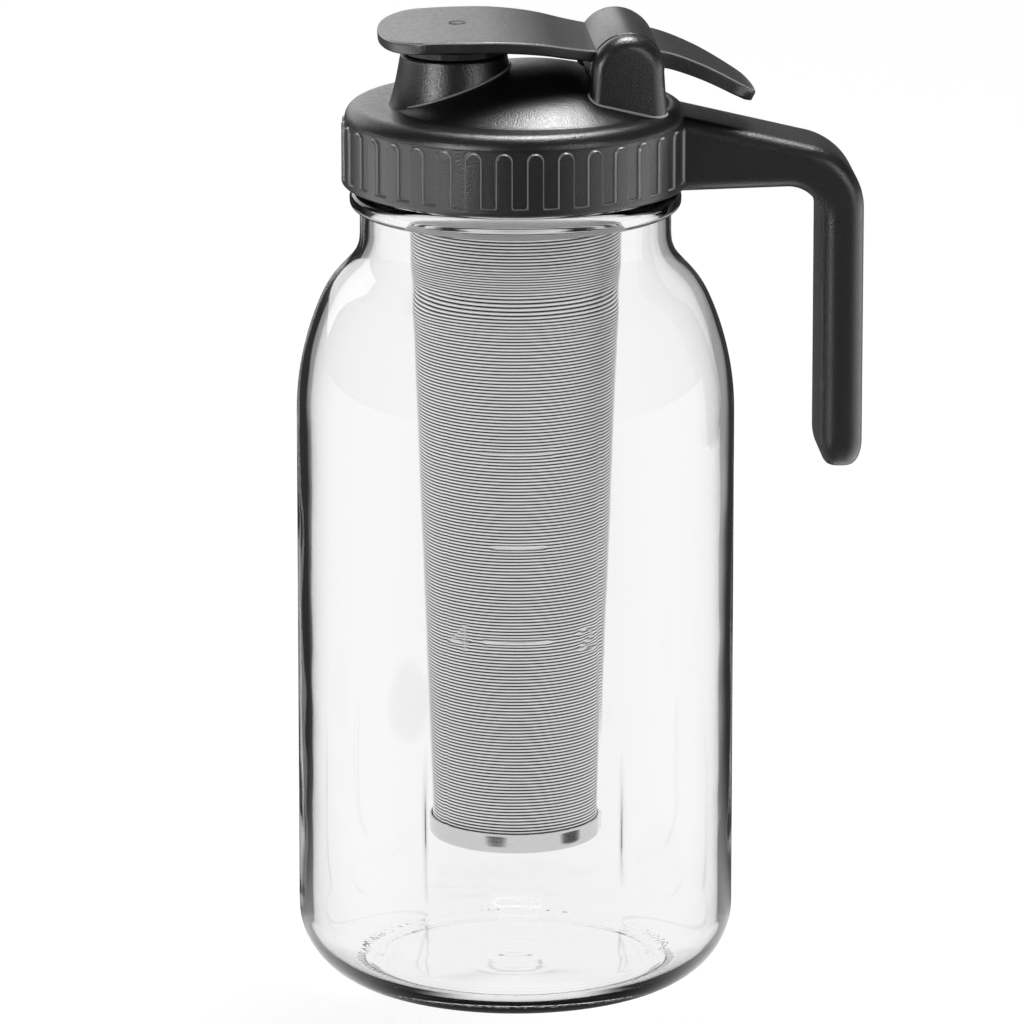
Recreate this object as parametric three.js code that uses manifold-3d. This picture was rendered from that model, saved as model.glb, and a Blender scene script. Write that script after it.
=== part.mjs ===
// Half-gallon cold brew coffee maker: a wide-mouth glass jar, a hanging mesh filter,
// and a screw lid with a flip-top spout and a handle.
// Millimetres, +Z up. The origin is on the jar's axis at the table plane.
// -X is the spout side and +X is the handle side.

import * as THREE from 'three';
import { mergeVertices } from 'three/addons/utils/BufferGeometryUtils.js';
import Module from 'manifold-3d';

const wasm = await Module();
wasm.setup();

// Shared clearances and drawing steps
const fitGap = 0.3;              // between pieces that are cut to each other
const seatGap = 0.1;             // between flat rings stacked on each other
const overrun = 2;               // how far a cutting body runs past the face it cuts
const sink = 0.8;                // how far an added body is sunk into its carrier
const roundSides = 40;           // sides of every large round body
const smallSides = 20;           // sides of pins, bores and stems
const arcStepDeg = 22.5;         // largest angle of one step on a drawn arc
const weldDistance = 1e-4;       // points closer than this are one
const slopeStep = 0.8;           // half the stretch over which a curve's slope is taken
const facetShare = 0.3;          // where a rounding drawn in two facets is broken
// A quarter of a rounded corner as [along, across] shares of its radius.
const cornerShares = [[0, 1], [0.13, 0.5], [0.5, 0.13], [1, 0]];

// Jar
const bodyRadius = 58.2;
const glassWall = 3.6;
const floorThickness = 5;
const heelRadius = 20;
const innerHeelRadius = 13;
const bearingWidth = 4;          // width of the ring that the jar stands on
const recessDepth = 1.2;         // moulded recess inside the bearing ring
const recessBevel = 4;
const padRadius = 22;            // flat pad in the middle of the underside
const padLift = 0.2;             // pad height over the table
const shoulderDrop = 76.7;       // from the mouth down to where the straight body ends
const shoulderRadius = 75;
const shoulderTurnDeg = 25;
const upperShoulderRadius = 22;
const upperShoulderTurnDeg = 19;
const throatRadius = 9.5;        // concave curve from shoulder to neck
const neckRadius = 41.2;
const beadRadius = 43.9;
const beadDrop = 21.2;           // from the mouth down to the bead's foot
const beadHeight = 4.6;
const beadSpreadDeg = 60;        // how far the bead's round front reaches up and down
const glassTop = 232;
const lipRadius = 1.2;

// Screw thread on neck and lid
const threadPitch = 5.08;
const threadTurns = 1.25;
const threadDrop = 12.4;         // from the mouth down to the jar thread's lower end
const jarThreadDepth = 1.2;
const lidThreadDepth = 1.3;
const threadRootWidth = 1.9;
const threadCrestWidth = 0.9;
const threadStepsPerTurn = 32;
const threadRunIn = 4;           // steps over which a thread's end fades out

// Stack of rings on the jar's mouth
const filterSealThickness = 1;
const flangeThickness = 0.8;
const gasketThickness = 2;
const ringInset = 0.6;           // how far the rings stay inside the neck's outer radius
const gasketWidth = 4.4;

// Filter
const meshTopRadius = 28.9;
const meshBottomRadius = 22;
const meshDrop = 7.5;            // from the mouth down to the mesh tube's upper end
const meshLength = 184.6;
const meshThickness = 0.8;
const collarThickness = 0.8;
const collarOverlap = 5;         // how far the steel collar covers the mesh's upper end
const funnelDrop = 3;            // height of the sloping part of the collar
const cupOverlap = 4.6;          // how far the cup covers the mesh's lower end
const cupThickness = 0.6;
const cupBevel = 1.6;
const cupFloorInset = 2.9;       // from the cup's wall in to its flat underside

// Lid
const skirtRadius = 45.2;
const skirtHeight = 21.5;        // from the deck's top down to the skirt's edge
const skirtClearance = 0.6;      // between the jar thread's crest and the skirt's bore
const deckThickness = 2.3;
const shoulderFillet = 4;
const skirtEdgeFillet = 1;
const crownX = 4;                // the crown's own axis lies toward the handle
const crownBaseRadius = 36.4;
const crownHollowRadius = 31.5;
const crownBelowSpout = 3;       // how far the crown's top stays under the spout's lip
const ribCount = 35;
const ribPhaseShare = 0.5;       // how far the first rib is turned, in steps between ribs
const ribWidth = 4.1;
const ribProud = 0.8;
const ribLength = 14.6;
const ribBandHeight = 2.4;       // plain band under the ribs

// Spout
const spoutX = -16.3;
const spoutBaseRadius = 16.6;
const spoutTopRadius = 14.2;
const spoutRise = 13.7;          // from the deck's top up to the spout's lip
const spoutBore = 11.4;

// Hinge
const hingeX = 28;
const hingeDrop = 1.9;           // from the spout's lip down to the pin's axis
const hubRadius = 10;
const hubFlatDrop = 3.5;         // distance from the pin's axis down to the hub's flat
const hubHalfLength = 18.2;      // at the pin's axis
const hubEndSlope = 0.16;        // how much the hub narrows toward the handle, per millimetre
const hubEndGap = 0.6;
const towerThickness = 4.8;
const towerBaseHalfWidth = 10.6;
const towerTopRadius = 9.8;
const towerEdgeRound = 1.6;
const pinRadius = 2;
const pinBoreGap = 0.3;
const blindWall = 2;             // material left over the pin's blind end

// Lever
const leverThickness = 3.2;
const tabThickness = 4.6;
const tabTipThickness = 3.4;
const leverEdgeRound = 0.9;
const stemRadius = 1.5;
const dimpleDepth = 0.4;
const headNoseX = -36.4;
const noseLength = 12.4;         // stretch over which the head rounds off
const nosePowerShare = 0.42;     // fullness of the head's corners
const tabTipRadius = 4.4;
const tipWidthShare = 0.45;      // share of the tab's width that is left at its very end
// Top surface from the head's nose to the tab's tip: [x, height over the spout's lip].
const leverRiseStations = [
  [headNoseX, 6.2], [-26, 7.2], [-14, 7.5], [-3, 7.3], [7, 6.2], [14, 4.8],
  [21, 3.7], [hingeX, 3.5], [37, 2.9], [47, -0.7], [57, -6.2], [61.3, -9], [63.6, -11],
];
// Half widths in plan: [x, half width] stations behind the rounded nose.
const leverWidthStations = [
  [-24, 24.2], [-14, 25.2], [-3, 24.8], [7, 23.2], [17, 20.4],
  [hingeX, hubHalfLength], [39, 15.4], [50, 13.6], [60, 11],
];
// Where sections of the lever are drawn, over the nose and over the tab's round tip.
const noseShares = [0, 0.06, 0.16, 0.32, 0.55, 0.8];
const tipShares = [0.45, 0.8, 1];
const leverSteps = 26;           // even sections between nose and tip

// Plug
const plugFlangeRadius = 13.4;
const plugFlangeThickness = 1.6;
const plugClearance = 0.5;
const plugDepth = 3.4;
const plugTaper = 0.5;
const plugNeckRadius = 10.4;

// Handle
const handleHalfWidth = 13.6;
const handleEdgeRound = 3.6;
const armTopDrop = 2.7;          // from the deck's top down to the arm's top at the skirt
const armSlopeDeg = 13.5;
const armFootDrop = 0.8;         // from the skirt's edge down to the arm's underside
const armUndersideRise = 0.7;    // how much the arm's underside rises toward the bend
const fingerRoom = 22;           // between the jar's body and the grip
const gripThickness = 11.4;
const gripDrop = 97.5;           // from the deck's top down to the grip's end
const outerBendRadius = 18;
const innerBendRadius = 9;
const gripFootHeight = 7;        // stretch over which the grip's end rounds off
const gripFootDraw = 3.2;        // how far the rounding draws the grip's end in
// Sections of the rounded end as [drop, draw] shares of that height and draw.
const footShares = [[0, 0], [0.6, 0.2], [0.9, 0.56], [1, 1]];
const handleRoundShare = 0.4;    // most of a section's depth that one rounding may take
const armShares = [0, 0.35, 0.7]; // where sections of the arm are drawn
const bendSteps = 7;
const railWidthAtSkirt = 9;
const railWidthAtEnd = 12;
const railReach = 5;             // how far the dovetail rail stands out of the ribs
const railFloor = 1.7;           // handle material under the rail

// Derived heights of the ring stack
const sealBase = glassTop + seatGap;
const flangeBase = sealBase + filterSealThickness + seatGap;
const flangeTop = flangeBase + flangeThickness;
const gasketBase = flangeTop + seatGap;
const gasketTop = gasketBase + gasketThickness;
const deckUnder = gasketTop + seatGap;
const deckTop = deckUnder + deckThickness;

// Derived heights on the jar, the filter and the lid
const shoulderStart = glassTop - shoulderDrop;
const beadBase = glassTop - beadDrop;
const threadBottom = glassTop - threadDrop;
const meshTop = glassTop - meshDrop;
const meshBottom = meshTop - meshLength;
const cupTop = meshBottom + cupOverlap;
const skirtBottom = deckTop - skirtHeight;
const ribBandTop = skirtBottom + ribBandHeight;
const ribTop = ribBandTop + ribLength;
const spoutTop = deckTop + spoutRise;
const crownRise = spoutRise - crownBelowSpout;
const hingeZ = spoutTop - hingeDrop;
const armTopAtRoot = deckTop - armTopDrop;
const armBottomAtRoot = skirtBottom - armFootDrop;
const armBottomAtBend = armBottomAtRoot + armUndersideRise;
const gripBottom = deckTop - gripDrop;
const gripInnerX = bodyRadius + fingerRoom;
const gripOuterX = gripInnerX + gripThickness;

// Derived radii
const mouthRadius = neckRadius - glassWall;
const jarThreadCrest = neckRadius + jarThreadDepth;
const skirtBoreRadius = jarThreadCrest + skirtClearance;
const ribRadius = skirtRadius + ribProud;
const ringOuterRadius = neckRadius - ringInset;

const radians = (deg) => (deg * Math.PI) / 180;

// Small geometry helpers

// Turns a closed three.js geometry into a solid, whichever way its faces point.
function solidOf(geometry) {
  const bare = geometry.index ? geometry.clone() : geometry;
  bare.deleteAttribute('normal');
  bare.deleteAttribute('uv');
  const merged = mergeVertices(bare, weldDistance);
  const places = merged.attributes.position.array;
  const kept = [];
  let volume = 0;
  for (let i = 0; i < merged.index.count; i += 3) {
    const [a, b, c] = [0, 1, 2].map((k) => merged.index.getX(i + k));
    if (a === b || b === c || c === a) continue;
    kept.push(a, b, c);
    const [p, q, r] = [a, b, c].map((k) => new THREE.Vector3().fromArray(places, 3 * k));
    volume += p.dot(q.cross(r));
  }
  if (volume < 0) kept.reverse();
  return new wasm.Manifold(new wasm.Mesh({
    numProp: 3,
    vertProperties: new Float32Array(places),
    triVerts: new Uint32Array(kept),
  }));
}

function geometryOf(solid) {
  const mesh = solid.getMesh();
  const geometry = new THREE.BufferGeometry();
  geometry.setAttribute('position', new THREE.BufferAttribute(new Float32Array(mesh.vertProperties), 3));
  geometry.setIndex(new THREE.BufferAttribute(new Uint32Array(mesh.triVerts), 1));
  geometry.computeVertexNormals();
  return geometry;
}

// Turns a profile of [radius, height] points about the Z axis.
function turned(profile, sides = roundSides, x = 0) {
  const points = profile.map(([radius, height]) => new THREE.Vector2(radius, height));
  const geometry = new THREE.LatheGeometry(points, sides);
  geometry.rotateX(Math.PI / 2);
  geometry.translate(x, 0, 0);
  return solidOf(geometry);
}

// A closed ring body turned from a profile that closes on itself.
const turnedRing = (profile, sides, x) => turned([...profile, profile[0]], sides, x);

// A cylinder or cone along Z.
function upright(bottomRadius, topRadius, bottom, top, sides, x = 0) {
  return turned([[0, bottom], [bottomRadius, bottom], [topRadius, top], [0, top]], sides, x);
}

// A cylinder along Y.
function crossPin(radius, x, z, yStart, yEnd, sides = smallSides) {
  const geometry = new THREE.CylinderGeometry(radius, radius, yEnd - yStart, sides);
  geometry.translate(x, (yStart + yEnd) / 2, z);
  return solidOf(geometry);
}

// A closed body skinned over rings of equally many points.
function skinned(rings) {
  const count = rings[0].length;
  const places = rings.flat(2);
  const faces = [];
  for (let ring = 0; ring + 1 < rings.length; ring += 1) {
    for (let k = 0; k < count; k += 1) {
      const a = ring * count + k;
      const b = ring * count + ((k + 1) % count);
      faces.push(a, b, b + count, a, b + count, a + count);
    }
  }
  const last = (rings.length - 1) * count;
  for (let k = 1; k + 1 < count; k += 1) {
    faces.push(0, k + 1, k, last, last + k, last + k + 1);
  }
  const geometry = new THREE.BufferGeometry();
  geometry.setAttribute('position', new THREE.BufferAttribute(new Float32Array(places), 3));
  geometry.setIndex(faces);
  return solidOf(geometry);
}

// Points of an arc about a centre, both ends included.
function arc(centreX, centreY, radius, fromDeg, toDeg, stepDeg = arcStepDeg) {
  const steps = Math.max(2, Math.ceil(Math.abs(toDeg - fromDeg) / stepDeg));
  return Array.from({ length: steps + 1 }, (_, k) => {
    const angle = radians(fromDeg + ((toDeg - fromDeg) * k) / steps);
    return [centreX + radius * Math.cos(angle), centreY + radius * Math.sin(angle)];
  });
}

// A helical ridge on a round wall. crest may be outside or inside the root radius.
function helixRidge(root, crest, bottom) {
  const steps = Math.round(threadTurns * threadStepsPerTurn);
  const buried = root - Math.sign(crest - root) * sink;
  const rings = Array.from({ length: steps + 1 }, (_, k) => {
    const angle = radians((360 * k) / threadStepsPerTurn);
    const middle = bottom + (threadPitch * k) / threadStepsPerTurn;
    const fade = Math.min(1, (k + 1) / threadRunIn, (steps + 1 - k) / threadRunIn);
    const tip = root + (crest - root) * fade;
    const section = [
      [buried, -threadRootWidth / 2], [tip, -threadCrestWidth / 2],
      [tip, threadCrestWidth / 2], [buried, threadRootWidth / 2],
    ];
    return section.map(([r, z]) => [r * Math.cos(angle), r * Math.sin(angle), middle + z]);
  });
  return skinned(rings);
}

// The smooth curve of a lever's height or width, through a few stations along X.
const stationCurve = (stations) => new THREE.CatmullRomCurve3(
  stations.map(([x, value]) => new THREE.Vector3(x, value, 0)), false, 'centripetal');

function material(colour, roughness, metalness, opacity = 1) {
  return new THREE.MeshStandardMaterial({
    color: colour, roughness, metalness, opacity, transparent: opacity < 1,
  });
}
const blackPlastic = () => material(0x1b1b1c, 0.55, 0);
const clearGlass = () => material(0xe8edef, 0.05, 0, 0.35);
const steel = () => material(0xb9bbbd, 0.25, 1);
const silicone = (colour) => material(colour, 0.7, 0);

// Glass jar

// Outside outline from the straight body up to the neck, with the inward normal of each point.
function shoulderOutline() {
  const points = [];
  const first = [bodyRadius - shoulderRadius, shoulderStart];
  for (const [r, z] of arc(first[0], first[1], shoulderRadius, 0, shoulderTurnDeg)) {
    points.push([r, z, first[0], first[1], 1]);
  }
  const [joinR, joinZ] = points[points.length - 1];
  const back = radians(shoulderTurnDeg);
  const second = [joinR - upperShoulderRadius * Math.cos(back), joinZ - upperShoulderRadius * Math.sin(back)];
  const slopeDeg = shoulderTurnDeg + upperShoulderTurnDeg;
  for (const [r, z] of arc(second[0], second[1], upperShoulderRadius, shoulderTurnDeg, slopeDeg).slice(1)) {
    points.push([r, z, second[0], second[1], 1]);
  }
  const [slopeR, slopeZ] = points[points.length - 1];
  const slope = radians(slopeDeg);
  const throatStartR = neckRadius + throatRadius * (1 - Math.cos(slope));
  const throatStartZ = slopeZ + (slopeR - throatStartR) / Math.tan(slope);
  const third = [
    throatStartR + throatRadius * Math.cos(slope), throatStartZ + throatRadius * Math.sin(slope),
  ];
  for (const [r, z] of arc(third[0], third[1], throatRadius, 180 + slopeDeg, 180)) {
    points.push([r, z, third[0], third[1], -1]);
  }
  return points;
}

// The same outline moved inward by the wall.
function inwardOutline(points, wall) {
  return points.map(([r, z, centreR, centreZ, side]) => {
    const length = Math.hypot(r - centreR, z - centreZ);
    return [r - (side * wall * (r - centreR)) / length, z - (side * wall * (z - centreZ)) / length];
  });
}

function glassJar() {
  const shoulder = shoulderOutline();
  const ringOut = bodyRadius - heelRadius;
  const ringIn = ringOut - bearingWidth;
  const innerFloorRadius = bodyRadius - glassWall - innerHeelRadius;
  const beadMiddle = beadBase + beadHeight / 2;
  const outside = [
    [0, padLift], [padRadius, padLift],
    [padRadius + recessBevel, recessDepth], [ringIn - recessBevel, recessDepth], [ringIn, 0],
    ...arc(ringOut, heelRadius, heelRadius, -90, 0),
    ...shoulder.map(([r, z]) => [r, z]),
    [neckRadius, beadBase],
    ...arc(beadRadius - beadHeight / 2, beadMiddle, beadHeight / 2, -beadSpreadDeg, beadSpreadDeg),
    [neckRadius, beadBase + beadHeight],
  ];
  const lip = [
    ...arc(neckRadius - lipRadius, glassTop - lipRadius, lipRadius, 0, 90),
    ...arc(mouthRadius + lipRadius, glassTop - lipRadius, lipRadius, 90, 180),
  ];
  const inside = [
    ...inwardOutline(shoulder, glassWall).reverse(),
    ...arc(innerFloorRadius, floorThickness + innerHeelRadius, innerHeelRadius, 0, -90),
    [0, floorThickness],
  ];
  const thread = helixRidge(neckRadius, jarThreadCrest, threadBottom);
  return turned([...outside, ...lip, ...inside]).add(thread);
}

// Filter

function filterSeal() {
  return turnedRing([
    [mouthRadius, sealBase], [ringOuterRadius, sealBase],
    [ringOuterRadius, sealBase + filterSealThickness], [mouthRadius, sealBase + filterSealThickness],
  ]);
}

// Radius of the mesh tube's outside at a height.
function meshRadiusAt(z) {
  const share = (z - meshBottom) / (meshTop - meshBottom);
  return meshBottomRadius + (meshTopRadius - meshBottomRadius) * share;
}

// Flange that rests on the mouth, with a sloping collar that holds the mesh tube's upper end.
function filterRim() {
  const collarInner = meshTopRadius + fitGap;
  const collarOuter = collarInner + collarThickness;
  const collarFoot = meshTop - collarOverlap;
  const funnelTopRadius = mouthRadius - ringInset - collarThickness;
  const capInner = collarInner - meshThickness - fitGap;
  const wallFoot = meshTop + fitGap;
  return turnedRing([
    [ringOuterRadius, flangeBase], [ringOuterRadius, flangeTop],
    [funnelTopRadius, flangeTop], [capInner, wallFoot + funnelDrop + collarThickness],
    [capInner, wallFoot], [collarInner, wallFoot], [collarInner, collarFoot],
    [collarOuter, collarFoot], [collarOuter, wallFoot + funnelDrop - collarThickness],
    [funnelTopRadius + collarThickness, flangeBase],
  ]);
}

function filterMesh() {
  return turnedRing([
    [meshBottomRadius, meshBottom], [meshTopRadius, meshTop],
    [meshTopRadius - meshThickness, meshTop], [meshBottomRadius - meshThickness, meshBottom],
  ]);
}

// Steel cup that closes the mesh tube's lower end.
function filterBottomCup() {
  const inner = meshRadiusAt(cupTop) + fitGap;
  const outer = inner + cupThickness;
  const innerFloor = meshBottom - fitGap;
  const underside = innerFloor - cupThickness;
  return turned([
    [0, underside], [outer - cupFloorInset, underside], [outer, underside + cupBevel],
    [outer, cupTop], [inner, cupTop], [inner, innerFloor], [0, innerFloor],
  ]);
}

// Lid

// The crown's outside is a ball cap; this is its ball radius and the height of its centre.
const crownBall = (crownBaseRadius ** 2 + crownRise ** 2) / (2 * crownRise);
const crownCentreZ = deckTop + crownRise - crownBall;

// Solid cap of the crown's ball out to an edge radius, with a plain foot down to a base height.
function crownCap(ball, edgeRadius, base) {
  const edge = Math.asin(edgeRadius / ball);
  const steps = 6;
  const dome = Array.from({ length: steps + 1 }, (_, k) => {
    const angle = (edge * k) / steps;
    return [ball * Math.sin(angle), crownCentreZ + ball * Math.cos(angle)];
  });
  return turned([...dome, [edgeRadius, base], [0, base]], roundSides, crownX);
}

function lidShell() {
  const shell = turned([
    [0, deckTop],
    ...arc(skirtRadius - shoulderFillet, deckTop - shoulderFillet, shoulderFillet, 90, 0),
    ...arc(skirtRadius - skirtEdgeFillet, skirtBottom + skirtEdgeFillet, skirtEdgeFillet, 0, -90),
    [skirtBoreRadius, skirtBottom], [skirtBoreRadius, deckUnder], [0, deckUnder],
  ]);
  const crown = crownCap(crownBall, crownBaseRadius, deckTop - sink);
  const hollow = crownCap(crownBall - deckThickness, crownHollowRadius, deckUnder - overrun);
  return shell.add(crown).subtract(hollow);
}

// Flat seat in the crown under the lever's barrel.
function barrelSeat() {
  const half = hubHalfLength + hubEndGap;
  const low = hingeZ - hubFlatDrop - fitGap;
  const plan = [[hingeX - hubRadius, -half], [hingeX, -half], [hingeX, half], [hingeX - hubRadius, half]];
  return skinned([low, hingeZ].map((z) => plan.map(([x, y]) => [x, y, z])));
}

// Plain band round the skirt's foot, which joins the ribs.
function ribBand() {
  return turnedRing([
    [skirtRadius - sink, skirtBottom + skirtEdgeFillet], [ribRadius - skirtEdgeFillet, skirtBottom],
    [ribRadius, skirtBottom + skirtEdgeFillet], [ribRadius, ribBandTop], [skirtRadius - sink, ribBandTop],
  ]);
}

// One grip rib with a round top, at an angle round the lid.
function gripRib(angle) {
  const half = ribWidth / 2;
  const outline = [
    [-half, ribBandTop - sink], [half, ribBandTop - sink],
    ...arc(0, ribTop - half, half, 0, 180, arcStepDeg * 2),
  ];
  const depths = [skirtRadius - sink, ribRadius];
  const rings = depths.map((depth) => outline.map(([across, z]) => [
    depth * Math.cos(angle) - across * Math.sin(angle),
    depth * Math.sin(angle) + across * Math.cos(angle),
    z,
  ]));
  return skinned(rings);
}

// Inner face of a hinge tower at a place along X; side is -1 in front and 1 behind.
const towerFaceY = (x, side) => side * (hubHalfLength + hubEndGap - hubEndSlope * (x - hingeX));

// Outline of a hinge tower seen from the front, drawn in by an inset.
function towerOutline(inset) {
  const base = deckTop - sink;
  const half = towerBaseHalfWidth - inset;
  return [
    [hingeX - half, base], [hingeX + half, base],
    ...arc(hingeX, hingeZ, towerTopRadius - inset, 0, 180),
  ];
}

function hingeTower(side) {
  const layers = [
    [0, 0], [towerThickness - towerEdgeRound, 0],
    [towerThickness - towerEdgeRound * facetShare, towerEdgeRound * facetShare],
    [towerThickness, towerEdgeRound],
  ];
  const rings = layers.map(([out, inset]) => towerOutline(inset).map(([x, z]) => [
    x, towerFaceY(x, side) + side * out, z,
  ]));
  return skinned(rings);
}

// Dovetail rail on the skirt that carries the handle, widened on all sides by a gap.
function handleRail(gap, bottom, top) {
  const inner = skirtRadius - sink;
  const outer = ribRadius + railReach + gap;
  const narrow = railWidthAtSkirt / 2 + gap;
  const wide = railWidthAtEnd / 2 + gap;
  const plan = [[inner, -narrow], [outer, -wide], [outer, wide], [inner, narrow]];
  return skinned([bottom, top].map((z) => plan.map(([x, y]) => [x, y, z])));
}

const railBottom = armBottomAtRoot + railFloor;
const railTop = armTopAtRoot - handleEdgeRound;

function lidCap() {
  let solid = lidShell().add(ribBand());
  for (let k = 0; k < ribCount; k += 1) {
    solid = solid.add(gripRib((2 * Math.PI * (k + ribPhaseShare)) / ribCount));
  }
  const innerCrest = skirtBoreRadius - lidThreadDepth;
  const lidThreadBottom = threadBottom + threadPitch / 2;
  solid = solid.add(helixRidge(skirtBoreRadius, innerCrest, lidThreadBottom));
  solid = solid.add(upright(spoutBaseRadius, spoutTopRadius, deckTop - sink, spoutTop, roundSides, spoutX));
  const [boreBottom, boreTop] = [deckUnder - overrun, spoutTop + overrun];
  solid = solid.subtract(upright(spoutBore, spoutBore, boreBottom, boreTop, roundSides, spoutX));
  solid = solid.add(handleRail(0, railBottom, railTop)).subtract(barrelSeat());
  for (const side of [-1, 1]) {
    solid = solid.add(hingeTower(side));
  }
  const bore = pinRadius + pinBoreGap;
  return solid.subtract(crossPin(bore, hingeX, hingeZ, pinFront - fitGap, pinBack + overrun));
}

function lidGasket() {
  return turnedRing([
    [ringOuterRadius - gasketWidth, gasketBase], [ringOuterRadius, gasketBase],
    [ringOuterRadius, gasketTop], [ringOuterRadius - gasketWidth, gasketTop],
  ]);
}

// Hinge pin, blind in the front tower and flush with the back one
const pinFront = towerFaceY(hingeX, -1) - (towerThickness - blindWall);
const pinBack = towerFaceY(hingeX, 1) + towerThickness;
const hingePin = () => crossPin(pinRadius, hingeX, hingeZ, pinFront, pinBack - fitGap);

// Flip lever

const leverTopStations = leverRiseStations.map(([x, rise]) => [x, spoutTop + rise]);

// Height or width of a station curve at a place along X.
function valueAt(stations, x) {
  const curve = stationCurve(stations);
  const [first, last] = [stations[0], stations[stations.length - 1]];
  if (x <= first[0]) return first[1];
  if (x >= last[0]) return last[1];
  let [low, high] = [0, 1];
  for (let k = 0; k < 30; k += 1) {
    const middle = (low + high) / 2;
    if (curve.getPoint(middle).x < x) low = middle;
    else high = middle;
  }
  return curve.getPoint(low).y;
}

const leverTopAt = (x) => valueAt(leverTopStations, x);
const leverTipX = leverTopStations[leverTopStations.length - 1][0];

// Half width in plan, with the rounded nose and the rounded tab tip.
function leverHalfWidthAt(x) {
  const fromNose = Math.max(0, (x - headNoseX) / noseLength);
  const nose = fromNose < 1 ? (1 - (1 - fromNose) ** 2) ** nosePowerShare : 1;
  const toTip = Math.max(0, (leverTipX - x) / tabTipRadius);
  const tip = toTip < 1 ? Math.sqrt(1 - (1 - toTip) ** 2) : 1;
  return valueAt(leverWidthStations, x) * nose * (tipWidthShare + (1 - tipWidthShare) * tip);
}

function leverThicknessAt(x) {
  const { clamp, lerp } = THREE.MathUtils;
  if (x < hingeX + hubRadius) {
    return lerp(leverThickness, tabThickness, clamp((x - hingeX) / hubRadius, 0, 1));
  }
  return lerp(tabThickness, tabTipThickness, (x - hingeX - hubRadius) / (leverTipX - hingeX - hubRadius));
}

// Section of the lever square to its top surface, with softened edges.
function leverSection(x) {
  const half = Math.max(leverHalfWidthAt(x), leverEdgeRound * 2);
  const top = leverTopAt(x);
  const thickness = leverThicknessAt(x);
  const slope = Math.atan2(leverTopAt(x + slopeStep) - leverTopAt(x - slopeStep), 2 * slopeStep);
  const e = leverEdgeRound;
  const outline = [
    [-half + e, thickness], [-half, thickness - e], [-half, e], [-half + e, 0],
    [half - e, 0], [half, e], [half, thickness - e], [half - e, thickness],
  ];
  return outline.map(([y, depth]) => [
    x + depth * Math.sin(slope), y, top - depth * Math.cos(slope),
  ]);
}

// Stations along the lever, closer together at the nose and the tip.
function leverPlaces() {
  const nose = noseShares.map((share) => headNoseX + share * noseLength);
  const start = headNoseX + noseLength;
  const end = leverTipX - tabTipRadius;
  const middle = Array.from({ length: leverSteps + 1 }, (_, k) => start + ((end - start) * k) / leverSteps);
  const tip = tipShares.map((share) => end + share * tabTipRadius);
  return [...nose, ...middle, ...tip];
}

// Barrel of the hinge, flat underneath, with ends that narrow toward the handle.
function hingeHub() {
  const flatDeg = (Math.asin(hubFlatDrop / hubRadius) * 180) / Math.PI;
  const outline = arc(hingeX, hingeZ, hubRadius, -flatDeg, 180 + flatDeg);
  const rings = [-1, 1].map((side) => outline.map(([x, z]) => [
    x, towerFaceY(x, side) - side * hubEndGap, z,
  ]));
  return skinned(rings);
}

function flipLever() {
  const blade = skinned(leverPlaces().map(leverSection));
  const top = leverTopAt(spoutX);
  const reach = hubHalfLength + towerThickness;
  return blade.add(hingeHub())
    .subtract(crossPin(pinRadius + pinBoreGap, hingeX, hingeZ, -reach, reach))
    .subtract(upright(stemRadius + fitGap, stemRadius + fitGap,
      top - leverThickness - overrun, top + overrun, smallSides, spoutX));
}

// Silicone plug that the lever presses on the spout; its stem is pulled up through the lever.
function spoutPlug() {
  const leverTop = leverTopAt(spoutX);
  const lowest = Math.min(leverTopAt(spoutX - plugNeckRadius), leverTopAt(spoutX + plugNeckRadius));
  const leverUnder = lowest - leverThickness - fitGap;
  const stopper = spoutBore - plugClearance;
  const flangeUnder = spoutTop + fitGap;
  return turned([
    [0, spoutTop - plugDepth], [stopper - plugTaper, spoutTop - plugDepth], [stopper, flangeUnder],
    [plugFlangeRadius, flangeUnder], [plugFlangeRadius, flangeUnder + plugFlangeThickness],
    [plugNeckRadius, flangeUnder + plugFlangeThickness], [plugNeckRadius, leverUnder],
    [stemRadius, leverUnder], [stemRadius, leverTop - dimpleDepth], [0, leverTop - dimpleDepth],
  ], smallSides, spoutX);
}

// Handle

// Stations round the handle: a point on the outer outline and one on the inner outline,
// and at the rounded end how far the sides are drawn in.
function handleStations() {
  const slope = Math.tan(radians(armSlopeDeg));
  const topAt = (x) => armTopAtRoot - slope * (x - ribRadius);
  const bendX = gripOuterX - outerBendRadius;
  const outerBendZ = topAt(bendX) - outerBendRadius / Math.cos(radians(armSlopeDeg));
  const innerBendX = gripInnerX - innerBendRadius;
  const innerBendZ = armBottomAtBend - innerBendRadius;
  const rootX = skirtRadius - sink - overrun;
  const arm = armShares.map((share) => {
    const outerX = rootX + (bendX - rootX) * share;
    const innerX = rootX + (innerBendX - rootX) * share;
    const bottom = armBottomAtRoot + (armBottomAtBend - armBottomAtRoot) * share;
    return [[outerX, topAt(outerX)], [innerX, bottom]];
  });
  const bend = Array.from({ length: bendSteps + 1 }, (_, k) => {
    const share = k / bendSteps;
    const outerAngle = radians((90 - armSlopeDeg) * (1 - share));
    const innerAngle = radians(90 * (1 - share));
    return [
      [bendX + outerBendRadius * Math.cos(outerAngle), outerBendZ + outerBendRadius * Math.sin(outerAngle)],
      [
        innerBendX + innerBendRadius * Math.cos(innerAngle),
        innerBendZ + innerBendRadius * Math.sin(innerAngle),
      ],
    ];
  });
  const foot = footShares.map(([dropShare, drawShare]) => {
    const z = gripBottom + gripFootHeight * (1 - dropShare);
    const draw = gripFootDraw * drawShare;
    return [[gripOuterX - draw, z], [gripInnerX + draw, z], draw];
  });
  return [...arm, ...bend, ...foot];
}

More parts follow.
